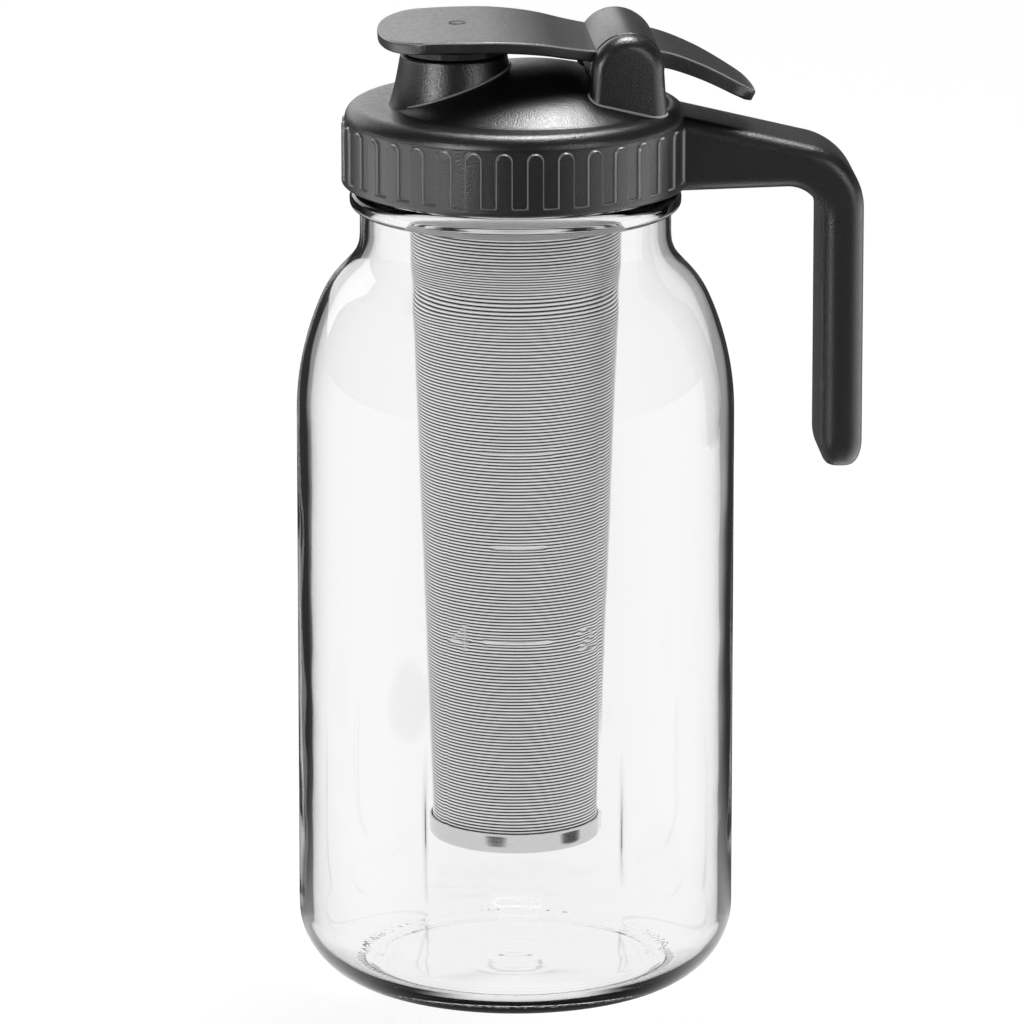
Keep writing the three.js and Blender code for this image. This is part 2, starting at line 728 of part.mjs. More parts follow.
// Rounded rectangular section between an outer and an inner point.
function handleSection([outer, inner, draw = 0]) {
  const depth = Math.hypot(outer[0] - inner[0], outer[1] - inner[1]);
  const half = handleHalfWidth - draw;
  const round = Math.min(handleEdgeRound, depth * handleRoundShare);
  const quadrant = (ySide, atOuter) => cornerShares.map(([alongShare, acrossShare]) => {
    const along = atOuter ? alongShare * round : depth - alongShare * round;
    return [along / depth, ySide * (half - acrossShare * round)];
  });
  const loop = [
    ...quadrant(-1, true), ...quadrant(-1, false).reverse(),
    ...quadrant(1, false), ...quadrant(1, true).reverse(),
  ];
  return loop.map(([share, y]) => [
    outer[0] + (inner[0] - outer[0]) * share, y, outer[1] + (inner[1] - outer[1]) * share,
  ]);
}

function handle() {
  const solid = skinned(handleStations().map(handleSection));
  const clear = ribRadius + fitGap;
  const lidSpace = upright(clear, clear, armBottomAtRoot - overrun, armTopAtRoot + overrun);
  return solid.subtract(lidSpace)
    .subtract(handleRail(fitGap, railBottom - fitGap, armTopAtRoot + overrun));
}

// Assembly

const maker = new THREE.Group();
const jarGroup = new THREE.Group();
const lidGroup = new THREE.Group();
maker.add(jarGroup, lidGroup);

function place(group, name, solid, look) {
  const mesh = new THREE.Mesh(geometryOf(solid), look);
  mesh.name = name;
  group.add(mesh);
}

place(jarGroup, 'glass_jar', glassJar(), clearGlass());
place(jarGroup, 'filter_seal', filterSeal(), silicone(0xd9dcdc));
place(jarGroup, 'filter_rim', filterRim(), steel());
place(jarGroup, 'filter_mesh', filterMesh(), steel());
place(jarGroup, 'filter_bottom_cup', filterBottomCup(), steel());
place(lidGroup, 'lid_gasket', lidGasket(), silicone(0xd9dcdc));
place(lidGroup, 'lid_cap', lidCap(), blackPlastic());
place(lidGroup, 'hinge_pin', hingePin(), blackPlastic());
place(lidGroup, 'flip_lever', flipLever(), blackPlastic());
place(lidGroup, 'spout_plug', spoutPlug(), silicone(0x242425));
place(lidGroup, 'handle', handle(), blackPlastic());

export default maker;
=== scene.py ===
"""Looks of a cold brew coffee maker: glass jar, hanging mesh filter, screw lid with a flip-top spout.

Sizes are typed in millimetres and kept in metres. The jar's axis is Z and the spout points to -X.
"""

import math

import bmesh
import bpy
import numpy as np
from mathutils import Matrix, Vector


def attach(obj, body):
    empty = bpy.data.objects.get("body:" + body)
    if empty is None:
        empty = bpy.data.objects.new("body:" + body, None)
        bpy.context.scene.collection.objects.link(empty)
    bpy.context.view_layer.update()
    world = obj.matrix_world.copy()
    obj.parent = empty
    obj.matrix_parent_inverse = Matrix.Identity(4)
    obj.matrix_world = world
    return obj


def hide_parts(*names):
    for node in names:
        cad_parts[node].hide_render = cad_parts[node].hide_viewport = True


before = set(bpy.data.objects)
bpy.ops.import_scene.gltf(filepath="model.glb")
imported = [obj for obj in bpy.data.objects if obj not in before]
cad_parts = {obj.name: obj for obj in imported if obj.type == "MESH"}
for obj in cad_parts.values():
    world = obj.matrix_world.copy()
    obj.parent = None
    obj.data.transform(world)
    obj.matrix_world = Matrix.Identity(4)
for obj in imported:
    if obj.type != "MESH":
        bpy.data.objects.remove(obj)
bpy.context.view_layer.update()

bl_info = {
    "name": "Cold brew coffee maker",
    "version": (1, 0, 0),
    "blender": (4, 5, 0),
    "location": "3D View > Sidebar > Cold brew",
    "description": "Dresses the cold brew coffee maker: glass, steel mesh, moulded lid and handle",
    "category": "Object",
}

MM = 0.001
WHITE = (1, 1, 1, 1)


# Property helpers

def length(name, description, millimetres):
    """A length that a user may change, shown in scene units."""
    return bpy.props.FloatProperty(name=name, description=description, default=millimetres * MM,
                                   unit="LENGTH", precision=5)


def angle(name, description, degrees):
    """An angle that a user may change."""
    return bpy.props.FloatProperty(name=name, description=description, default=math.radians(degrees),
                                   subtype="ANGLE")


def count(name, description, number):
    """A number of like features."""
    return bpy.props.IntProperty(name=name, description=description, default=number, min=1)


def linear(hex_colour):
    """Linear RGBA of an sRGB hex colour such as '1b1b1c'."""
    channels = [int(hex_colour[k:k + 2], 16) / 255 for k in (0, 2, 4)]
    return tuple(c / 12.92 if c <= 0.04045 else ((c + 0.055) / 1.055) ** 2.4 for c in channels) + (1.0,)


def colour(name, description, hex_colour):
    """A surface colour that a user may change, typed as sRGB hex."""
    return bpy.props.FloatVectorProperty(name=name, description=description, size=4, subtype="COLOR",
                                         default=linear(hex_colour), min=0, max=1)


class JarSizes(bpy.types.PropertyGroup):
    """Sizes of the glass jar."""
    body_radius: length("Body radius", "Outside radius of the straight body", 58.2)
    wall: length("Wall", "Glass thickness", 3.6)
    floor: length("Floor", "Glass thickness of the bottom", 5)
    pad_lift: length("Pad height", "Height of the underside over the table", 0.3)
    heel_radius: length("Heel radius", "Rounding between body and base", 20)
    inner_heel: length("Inner heel", "Rounding between the inner wall and the floor", 13)
    kick: length("Kick", "Height of the floor's dome in the middle", 0.5)
    shoulder_start: length("Shoulder start", "Height where the straight body ends", 155.3)
    shoulder_radius: length("Shoulder radius", "Large curve of the shoulder", 75)
    shoulder_turn: angle("Shoulder turn", "How far the large curve turns", 25)
    upper_radius: length("Upper radius", "Tighter curve over the large one", 22)
    upper_turn: angle("Upper turn", "How far the tighter curve turns", 19)
    throat_radius: length("Throat radius", "Hollow curve into the neck", 9.5)
    neck_radius: length("Neck radius", "Outside radius of the neck", 41.2)
    bead_radius: length("Bead radius", "Outside radius of the neck bead", 43.9)
    bead_base: length("Bead base", "Height of the bead's foot", 210.8)
    bead_height: length("Bead height", "Height of the bead", 4.6)
    top: length("Top", "Height of the mouth", 232)
    lip_radius: length("Lip radius", "Rounding of the mouth's edge", 1.2)
    thread_pitch: length("Thread pitch", "Rise of the thread in one turn", 5.08)
    thread_bottom: length("Thread bottom", "Height of the thread's lower end", 219.6)
    thread_depth: length("Thread depth", "How far the thread stands out", 1.2)
    mark_proud: length("Mark height", "How far the moulded marks stand out", 0.012)
    ridge_proud: length("Ridge height", "How far the ridges on the back wall stand out", 1.2)
    ridge_stroke: length("Ridge stroke", "Half width of a ridge on the back wall", 1.9)
    haze_stroke: length("Haze", "Half width of the haze on a moulded stroke", 0.38)
    mark_stroke: length("Mark stroke", "Half width of a moulded stroke", 0.6)


class FilterSizes(bpy.types.PropertyGroup):
    """Sizes of the mesh filter."""
    top_radius: length("Top radius", "Mesh radius at its upper end", 28.9)
    bottom_radius: length("Bottom radius", "Mesh radius at its lower end", 22)
    top: length("Top", "Height of the mesh's upper end", 224.5)
    bottom: length("Bottom", "Height of the mesh's lower end", 39.9)
    wire_pitch: length("Wire pitch", "Spacing of the crosswise wires", 0.88)
    wire_depth: length("Wire depth", "Depth of the weave's waves", 0.4)
    cup_top: length("Cup top", "Height of the steel cup's rim", 44.5)
    steel: length("Steel", "Sheet thickness", 0.6)


class LidSizes(bpy.types.PropertyGroup):
    """Sizes of the screw lid."""
    skirt_radius: length("Skirt radius", "Outside radius between the ribs", 45.2)
    bore_radius: length("Bore radius", "Inside radius of the skirt", 43)
    skirt_bottom: length("Skirt bottom", "Height of the skirt's edge", 217)
    deck_top: length("Deck top", "Height of the flat deck", 238.5)
    wall: length("Wall", "Thickness of deck and crown", 2.3)
    shoulder_fillet: length("Shoulder fillet", "Rounding between deck and skirt", 4)
    edge_fillet: length("Edge fillet", "Rounding of the skirt's edge", 1)
    crown_x: length("Crown place", "Crown axis along X", 4)
    foot_fillet: length("Foot fillet", "Rounding at the foot of the spout and the towers", 0.4)
    crown_radius: length("Crown radius", "Radius of the crown's foot", 36.4)
    crown_rise: length("Crown rise", "Height of the crown over the deck", 10.7)
    ribs: count("Ribs", "Grip ribs round the skirt", 35)
    rib_width: length("Rib width", "Width of a grip rib", 4.1)
    rib_proud: length("Rib height", "How far the ribs stand out", 0.8)
    rib_top: length("Rib top", "Height of the ribs' round tops", 234)
    band_top: length("Band top", "Height of the band that joins the ribs", 219.4)
    spout_x: length("Spout place", "Spout axis along X", -16.3)
    spout_base: length("Spout base", "Outside radius at the deck", 16.6)
    spout_lip: length("Spout lip radius", "Outside radius at the lip", 14.2)
    spout_top: length("Spout top", "Height of the lip", 252.2)
    spout_bore: length("Spout bore", "Inside radius", 11.4)


class HingeSizes(bpy.types.PropertyGroup):
    """Sizes of the hinge towers and the lever's barrel."""
    x: length("Hinge place", "Pin axis along X", 28)
    z: length("Hinge height", "Height of the pin axis", 250.3)
    hub_radius: length("Barrel radius", "Outside radius of the barrel", 10)
    flat_drop: length("Flat drop", "From the pin axis down to the barrel's flat", 3.5)
    half_length: length("Half length", "Half the barrel's length at the pin", 18.2)
    end_gap: length("End gap", "Between barrel and tower", 0.6)
    tower_thickness: length("Tower thickness", "Thickness of a hinge tower", 4.8)
    tower_half_width: length("Tower half width", "Half width of a tower's foot", 10.6)
    tower_radius: length("Tower radius", "Radius of a tower's round top", 9.8)
    tower_round: length("Tower rounding", "How deep the outer edge is rounded", 4.5)
    tower_draw: length("Tower draw", "How far the rounding draws the outline in", 3.6)


class LeverSizes(bpy.types.PropertyGroup):
    """Sizes of the flip lever."""
    nose_x: length("Nose", "Front end of the head along X", -36.4)
    tip_x: length("Tip", "End of the thumb tab along X", 63.6)
    thickness: length("Thickness", "Thickness of the head", 3.2)
    tab_thickness: length("Tab thickness", "Thickness of the tab at the barrel", 4.6)
    tip_thickness: length("Tip thickness", "Thickness of the tab's end", 3.4)
    edge: length("Edge", "Rounding of the lever's edges", 0.7)
    stem_x: length("Stem place", "Plug stem's end on the lever along X", -15.3)
    stem_y: length("Stem side", "Plug stem's end on the lever along Y", 2.2)


class HandleSizes(bpy.types.PropertyGroup):
    """Sizes of the handle."""
    half_width: length("Half width", "Half the handle's width", 13.6)
    edge: length("Edge", "Rounding of the handle's edges", 4.2)
    top_at_root: length("Top at root", "Height of the arm's top at the skirt", 235.8)
    slope: angle("Slope", "Fall of the arm's top", 13.5)
    under_at_root: length("Underside at root", "Height of the underside at the skirt", 216.2)
    under_at_bend: length("Underside at bend", "Height of the underside at the bend", 216.9)
    inner_x: length("Grip inside", "Inner face of the grip along X", 80.2)
    outer_x: length("Grip outside", "Outer face of the grip along X", 91.6)
    bottom: length("Bottom", "Height of the grip's end", 141)
    outer_bend: length("Outer bend", "Radius of the outer bend", 18)
    inner_bend: length("Inner bend", "Radius of the inner bend", 9)
    foot: length("Foot", "Stretch over which the grip's end rounds off", 7)
    foot_draw: length("Foot draw", "How far the grip's end is drawn in", 3.2)


class FinishColours(bpy.types.PropertyGroup):
    """Colours of the finishes."""
    plastic: colour("Plastic", "Black moulded plastic", "161617")
    silicone_black: colour("Plug silicone", "Black silicone", "161617")
    silicone_white: colour("Gasket silicone", "White silicone", "d6d8d8")
    steel: colour("Steel", "Polished stainless steel", "d2d2d2")
    # painted highlight: a lighter colour that sharp edges take, standing in for the light that they catch
    painted_highlight: colour("Rubbed plastic", "Edges where the plastic's grain is rubbed off", "b4b4b4")
    stroke: colour("Moulded stroke", "Haze on the glass's moulded strokes", "f0f0f0")
    mesh: colour("Mesh", "Woven stainless wire", "f6f6f6")
    glass: colour("Glass", "Clear glass", "fdfdfd")
    floor: colour("Floor", "Studio floor", "f2f2f2")


GROUPS = {"jar": JarSizes, "filter": FilterSizes, "lid": LidSizes, "hinge": HingeSizes,
          "lever": LeverSizes, "handle": HandleSizes, "finish": FinishColours}


def sizes(group):
    """The values of one group in the current scene."""
    return getattr(bpy.context.scene, "brew_" + group)


# Mesh helpers

def put(name, data):
    """Links a new object with this data to the scene."""
    holder = bpy.data.objects.new(name, data)
    bpy.context.scene.collection.objects.link(holder)
    return holder


def shade(mesh, crease):
    """Shades a mesh smooth, but for the edges sharper than crease degrees."""
    mesh.shade_smooth()
    mesh.set_sharp_from_angle(angle=math.radians(crease))


def coords(*values):
    """Points from their coordinates, each an array or one number for all of them."""
    return np.stack(np.broadcast_arrays(*values), axis=-1)


def skin(name, rows, start=None, end=None, closed=False, crease=40, flip=False):
    """Mesh over a grid of rows, each row a closed loop of points (rows x columns x 3, in metres).

    Row i is joined to row i + 1, and the last to the first if closed. start and end are single
    points that close the first and last row by a fan. Edges sharper than crease degrees stay sharp.
    """
    n_rows, n_cols = rows.shape[:2]
    place = np.arange(n_rows * n_cols).reshape(n_rows, n_cols)
    below, above = (place, np.roll(place, -1, axis=0)) if closed else (place[:-1], place[1:])
    quads = np.stack([below, np.roll(below, -1, axis=1), np.roll(above, -1, axis=1), above], axis=-1)
    faces = quads.reshape(-1, 4).tolist()
    points = rows.reshape(-1, 3)
    for tip, row, order in ((start, place[0], -1), (end, place[-1], 1)):
        if tip is not None:
            fan = coords(row, np.roll(row, -1), len(points))
            faces += fan[:, ::order].tolist()
            points = np.vstack([points, tip])
    mesh = bpy.data.meshes.new(name)
    mesh.from_pydata(points.tolist(), [], faces)
    if flip:
        mesh.flip_normals()
    mesh.update()
    shade(mesh, crease)
    return put(name, mesh)


def store(piece, name, values):
    """Keeps one number with each of a piece's points, for its material."""
    kept = piece.data.attributes.new(name, "FLOAT", "POINT")
    kept.data.foreach_set("value", np.asarray(values, dtype=float))


def points_of(piece, what="co"):
    """Places or normals of a piece's points, one row each."""
    values = np.empty(len(piece.data.vertices) * 3)
    piece.data.vertices.foreach_get(what, values)
    return values.reshape(-1, 3)


def turn(profile, columns, x=0.0):
    """Rows of a surface of revolution: each [radius, height] of the profile becomes a circle."""
    around = np.linspace(0, 2 * np.pi, columns, endpoint=False) if np.isscalar(columns) else columns
    radius, height = np.asarray(profile, dtype=float).T[:, :, None]
    return coords(x + radius * np.cos(around), radius * np.sin(around), height)


def push_out(rows, swell, columns):
    """Moves points away from the axis by swell, each along its column's angle."""
    rows[:, :, :2] += swell[:, :, None] * coords(np.cos(columns), np.sin(columns))


def arc(centre, radius, start, stop, steps):
    """Points of an arc: centre + radius * (cos, sin), angles in degrees, both ends included."""
    turns = np.radians(np.linspace(start, stop, steps + 1))
    return coords(centre[0] + radius * np.cos(turns), centre[1] + radius * np.sin(turns))


def between(start, stop, steps):
    """Points spaced evenly from start to stop, both left out."""
    share = np.linspace(0, 1, steps + 2)[1:-1, None]
    return np.asarray(start) + (np.asarray(stop) - np.asarray(start)) * share


def stretches(*spans):
    """Numbers of several spans in turn, each given as its first, its last and how many."""
    return np.concatenate([np.linspace(*span) for span in spans])


def smooth(value):
    """Cubic step from 0 to 1 as value goes from 0 to 1."""
    value = np.clip(value, 0, 1)
    return value * value * (3 - 2 * value)


def coat(piece, material):
    """Gives a piece its one material."""
    piece.data.materials.clear()
    piece.data.materials.append(material)


def dress(piece, body, material, replaced=()):
    """Gives a piece its finish, the body that it moves with and the nodes that it stands for."""
    coat(piece, material)
    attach(piece, body)
    if replaced:
        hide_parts(*replaced)


# Material helpers

def add(tree, kind, inputs=None, **settings):
    """Adds a shader node. An input is a value, or a socket that is linked to it."""
    node = tree.nodes.new("ShaderNode" + kind)
    for key, value in settings.items():
        setattr(node, key, value)
    for key, value in (inputs or {}).items():
        if isinstance(value, bpy.types.NodeSocket):
            tree.links.new(value, node.inputs[key])
        else:
            node.inputs[key].default_value = value
    return node


def maths(tree, operation, *values):
    """Result of a math node over values and sockets."""
    return add(tree, "Math", dict(enumerate(values)), operation=operation).outputs[0]


def ramp(tree, value, start, stop, low=0.0, high=1.0, kind="LINEAR"):
    """Result that goes from low to high as value goes from start to stop."""
    return add(tree, "MapRange", {"Value": value, "From Min": start, "From Max": stop, "To Min": low,
                                  "To Max": high}, interpolation_type=kind).outputs["Result"]


def noise(tree, place, size, detail=1.0):
    """Noise whose features have a size in metres."""
    return add(tree, "TexNoise", {"Vector": place, "Scale": 1 / size, "Detail": detail}).outputs[0]


def stored(tree, name):
    """The number that each point of the piece keeps under a name."""
    return add(tree, "Attribute", attribute_name=name).outputs["Fac"]


def blend(tree, share, first, second):
    """Colour that goes from the first to the second as share goes from 0 to 1."""
    return add(tree, "Mix", {"A": first, "B": second, "Factor": share}, data_type="RGBA").outputs["Result"]


def either(tree, share, first, second):
    """The first shader where share is 0, the second where it is 1."""
    return add(tree, "MixShader", {0: share, 1: first, 2: second}).outputs[0]


def white(tree, strength, kind="Emission"):
    """White light of a strength."""
    return add(tree, kind, {"Color": WHITE, "Strength": strength}).outputs[0]


def empty_tree(owner):
    """The node tree of a new material or world, emptied."""
    owner.use_nodes = True
    owner.node_tree.nodes.clear()
    return owner.node_tree


def new_material(name):
    """A material without nodes; returns it, its tree and the place on the object as a socket."""
    material = bpy.data.materials.new(name)
    tree = empty_tree(material)
    return material, tree, add(tree, "TexCoord").outputs["Object"]


def principled(tree, inputs):
    """Shows a principled shader with these inputs."""
    add(tree, "OutputMaterial", {"Surface": add(tree, "BsdfPrincipled", inputs).outputs[0]})


def moulded_black_plastic():
    """ABS from a spark-eroded mould: a fine sandy grain that breaks up broad, soft highlights.

    Sharp edges get a painted highlight, a lighter colour for the light that they catch: their share is kept
    with each point.
    """
    material, tree, place = new_material("moulded_black_abs")
    grain, wave = 0.45 * MM, 1.3 * MM
    bump = add(tree, "Bump", {"Strength": 1.0, "Distance": 0.08 * MM, "Height": noise(tree, place, grain)})
    # painted highlight: each point is tinted toward the lighter colour by the share that it keeps
    tint = blend(tree, stored(tree, "edge_highlight_share"), sizes("finish").plastic, sizes("finish").painted_highlight)
    principled(tree, {"IOR": 1.52, "Base Color": tint, "Normal": bump.outputs[0],
                      "Roughness": ramp(tree, noise(tree, place, wave), 0.3, 0.7, 0.31, 0.38)})
    return material


def moulded_silicone(name, tint):
    """Cured silicone rubber: smooth and dull, with a slight haze."""
    material, tree, place = new_material(name)
    haze = noise(tree, place, 2.5 * MM, detail=3.0)
    principled(tree, {"Base Color": tint, "IOR": 1.41, "Roughness": ramp(tree, haze, 0, 1, 0.45, 0.6)})
    return material


def polished_stainless_steel():
    """Deep-drawn and polished stainless sheet: mirror-like, with faint turning marks."""
    material, tree, place = new_material("polished_stainless_steel")
    squeezed = add(tree, "Mapping", {"Scale": (1, 1, 12), "Vector": place}).outputs[0]
    marks = noise(tree, squeezed, 4 * MM, detail=3.0)
    principled(tree, {"Base Color": sizes("finish").steel, "Metallic": 1.0,
                      "Roughness": ramp(tree, marks, 0, 1, 0.07, 0.16)})
    return material


def woven_stainless_wire():
    """Woven stainless wire cloth: crosswise wires stand proud, with fine lengthwise ones between.

    The surface between two wires gets painted shade, a near-black colour standing in for the shade there: its
    share is kept with each point.
    """
    material, tree, place = new_material("woven_stainless_wire")
    # the lengthwise wires are drawn 0.5 mm apart, the finest that shows, and flicker along their length
    wires, painted_gap_shade = 0.5 * MM, (0.012, 0.012, 0.012, 1)
    stretched = add(tree, "Mapping", {"Scale": (1, 1, 0.35), "Vector": place}).outputs[0]
    bump = add(tree, "Bump", {"Strength": 0.6, "Distance": 0.2 * MM, "Height": noise(tree, stretched, wires)})
    # painted shade: where a point lies low between the wires, its colour goes toward the near-black shade
    proud = ramp(tree, stored(tree, "wire_height"), 0.24, 0.64)
    principled(tree, {"Metallic": 1.0, "Roughness": 0.5, "Normal": bump.outputs[0],
                      "Base Color": blend(tree, proud, painted_gap_shade, sizes("finish").mesh)})
    return material


def pressed_clear_glass():
    """Pressed soda-lime glass: clear and smooth, with slow waves, about 25 mm long.

    The ring that it stands on is stippled, about 1 mm a dot, 40 to 44 mm from the axis. The moulded
    strokes are a little hazy: their share is kept with each point. Shadow rays pass the glass, so
    that the light reaches what hangs inside.
    """
    material, tree, place = new_material("pressed_soda_lime_glass")
    wave, dot, ring, most_haze = 25 * MM, 1.1 * MM, 42 * MM, 0.5
    slow = add(tree, "Bump", {"Strength": 0.12, "Distance": 1.2 * MM, "Height": noise(tree, place, wave)})
    flat = add(tree, "Mapping", {"Scale": (1, 1, 0), "Vector": place}).outputs[0]
    reach = add(tree, "VectorMath", {0: flat}, operation="LENGTH").outputs["Value"]
    low = ramp(tree, add(tree, "SeparateXYZ", {0: place}).outputs["Z"], 3 * MM, 2 * MM)
    off_ring = maths(tree, "ABSOLUTE", maths(tree, "SUBTRACT", reach, ring))
    here = maths(tree, "MULTIPLY", low, ramp(tree, off_ring, 2 * MM, MM))
    stipple = maths(tree, "MULTIPLY", noise(tree, place, dot, detail=0.0), here)
    bump = add(tree, "Bump", {"Strength": 1.0, "Distance": 0.25 * MM, "Height": stipple,
                              "Normal": slow.outputs[0]})
    glass = add(tree, "BsdfPrincipled", {"Base Color": sizes("finish").glass, "Roughness": 0.0, "IOR": 1.5,
                                         "Transmission Weight": 1.0, "Normal": bump.outputs[0]})
    haze = add(tree, "BsdfDiffuse", {"Color": sizes("finish").stroke})
    hazy = maths(tree, "MULTIPLY", stored(tree, "moulded_stroke"), most_haze)
    seen = either(tree, hazy, glass.outputs[0], haze.outputs[0])
    shadow = add(tree, "LightPath").outputs["Is Shadow Ray"]
    add(tree, "OutputMaterial",
        {"Surface": either(tree, shadow, seen, add(tree, "BsdfTransparent").outputs[0])})
    return material


# Glass jar

def shoulder_curve(s, body):
    """Outside of the shoulder from the straight body of radius body to the neck, and its inside.

    A large convex arc, a tighter convex arc, a straight slope and a concave arc, each tangent to
    the next, then softened by a running mean, so that no curve starts at once. Returns
    [radius, height] points and the matching points moved in by the wall.
    """
    turn_1, turn_2 = math.degrees(s.shoulder_turn), math.degrees(s.shoulder_turn + s.upper_turn)
    first = arc((body - s.shoulder_radius, s.shoulder_start), s.shoulder_radius, 0, turn_1, 60)
    aim = np.array([math.cos(s.shoulder_turn), math.sin(s.shoulder_turn)])
    second = arc(first[-1] - s.upper_radius * aim, s.upper_radius, turn_1, turn_2, 30)[1:]
    slope = math.radians(turn_2)
    start_r = s.neck_radius + s.throat_radius * (1 - math.cos(slope))
    start = np.array([start_r, second[-1][1] + (second[-1][0] - start_r) / math.tan(slope)])
    centre = start + s.throat_radius * np.array([math.cos(slope), math.sin(slope)])
    third = arc(centre, s.throat_radius, 180 + turn_2, 180, 30)
    run, pace = 8 * MM, 0.2 * MM
    sharp = np.vstack([first[0] - [0, run], first, second, third, third[-1] + [0, run]])
    travelled = np.append(0, np.cumsum(np.linalg.norm(np.diff(sharp, axis=0), axis=1)))
    even = np.arange(0, travelled[-1], pace)
    window = np.hanning(2 * int(round(run / 2 / pace)) + 1)
    window /= window.sum()
    dense = (np.interp(even, travelled, values) for values in sharp.T)
    soft = coords(*(np.convolve(values, window, "valid") for values in dense))[::3]
    ahead = np.gradient(soft, axis=0)
    ahead /= np.linalg.norm(ahead, axis=1, keepdims=True)
    return soft, soft - s.wall * coords(ahead[:, 1], -ahead[:, 0])


def strokes(path, scale=MM, centre=(0, 0)):
    """Segments [x1, z1, x2, z2] of a line through the path's [x, z], in metres."""
    path = np.asarray(centre) + scale * np.asarray(path, dtype=float)
    return np.hstack([path[:-1], path[1:]])


TOP_TICK = 157.4
TICKS = ((-12.5, 5.2, TOP_TICK), (-9.6, 3.2, 132), (-12, 4.6, 106.6))
FOUR = ((0.25, -0.5), (0.25, 0.5), (-0.35, -0.15), (0.4, -0.15))
TWO = ((-0.3, 0.25), (-0.15, 0.45), (0.15, 0.45), (0.3, 0.25), (0.25, 0.05), (-0.3, -0.5), (0.32, -0.5))


def front_strokes():
    """Volume marks on the front wall as segments: three ticks and two numbers."""
    ticks = [strokes([(left, height), (right, height)]) for left, right, height in TICKS]
    return np.vstack(ticks + [strokes(FOUR, 6 * MM, (-18.7 * MM, 107.4 * MM)),
                              strokes(TWO, 5.4 * MM, (14.4 * MM, 107 * MM))])


def back_strokes():
    """Ridges and base mark on the back wall, both as segments.

    Two upright ridges that lean out a little toward the top, where each is bent in, and a
    pill-shaped outline on the heel.
    """
    left = strokes([(-20.4, 4), (-21.6, 132), (-20, 136), (-16.5, 137.5)])
    right = strokes([(32.2, 4), (33.6, 132), (32, 136), (28.5, 137.5)])
    pill = strokes([(-1.8, 1.4), (9.4, 1.4), (10.6, 2.6), (9.4, 3.9), (-1.8, 3.9), (-3, 2.6), (-1.8, 1.4)])
    return np.vstack([left, right]), pill


def distance_to(segments, across, height):
    """Least distance from points (across, height) to a set of segments."""
    least = np.full(np.broadcast(across, height).shape, 1.0)
    for x1, z1, x2, z2 in segments:
        dx, dz = x2 - x1, z2 - z1
        share = np.clip(((across - x1) * dx + (height - z1) * dz) / (dx * dx + dz * dz), 0, 1)
        least = np.minimum(least, np.hypot(across - x1 - share * dx, height - z1 - share * dz))
    return least


def bell(distance, width):
    """Bell curve exp(-(distance / width)^2)."""
    return np.exp(-(distance / width) ** 2)


def jar_columns(s):
    """Angles round the jar, close together over the marks in front and the ridges behind."""
    fine = [np.radians(middle) + np.linspace(low, high, steps) * MM / s.body_radius
            for middle, low, high, steps in ((-90, -23, 19, 108), (90, 17, 26, 20), (90, -27, -37, 20),
                                             (90, 4, -12, 20))]
    coarse = np.radians(np.arange(0, 360, 4.0))
    angles = np.unique(np.round(np.concatenate(fine + [coarse]) % (2 * np.pi), 5))
    return angles[np.append(np.diff(angles) > math.radians(0.2), True)]


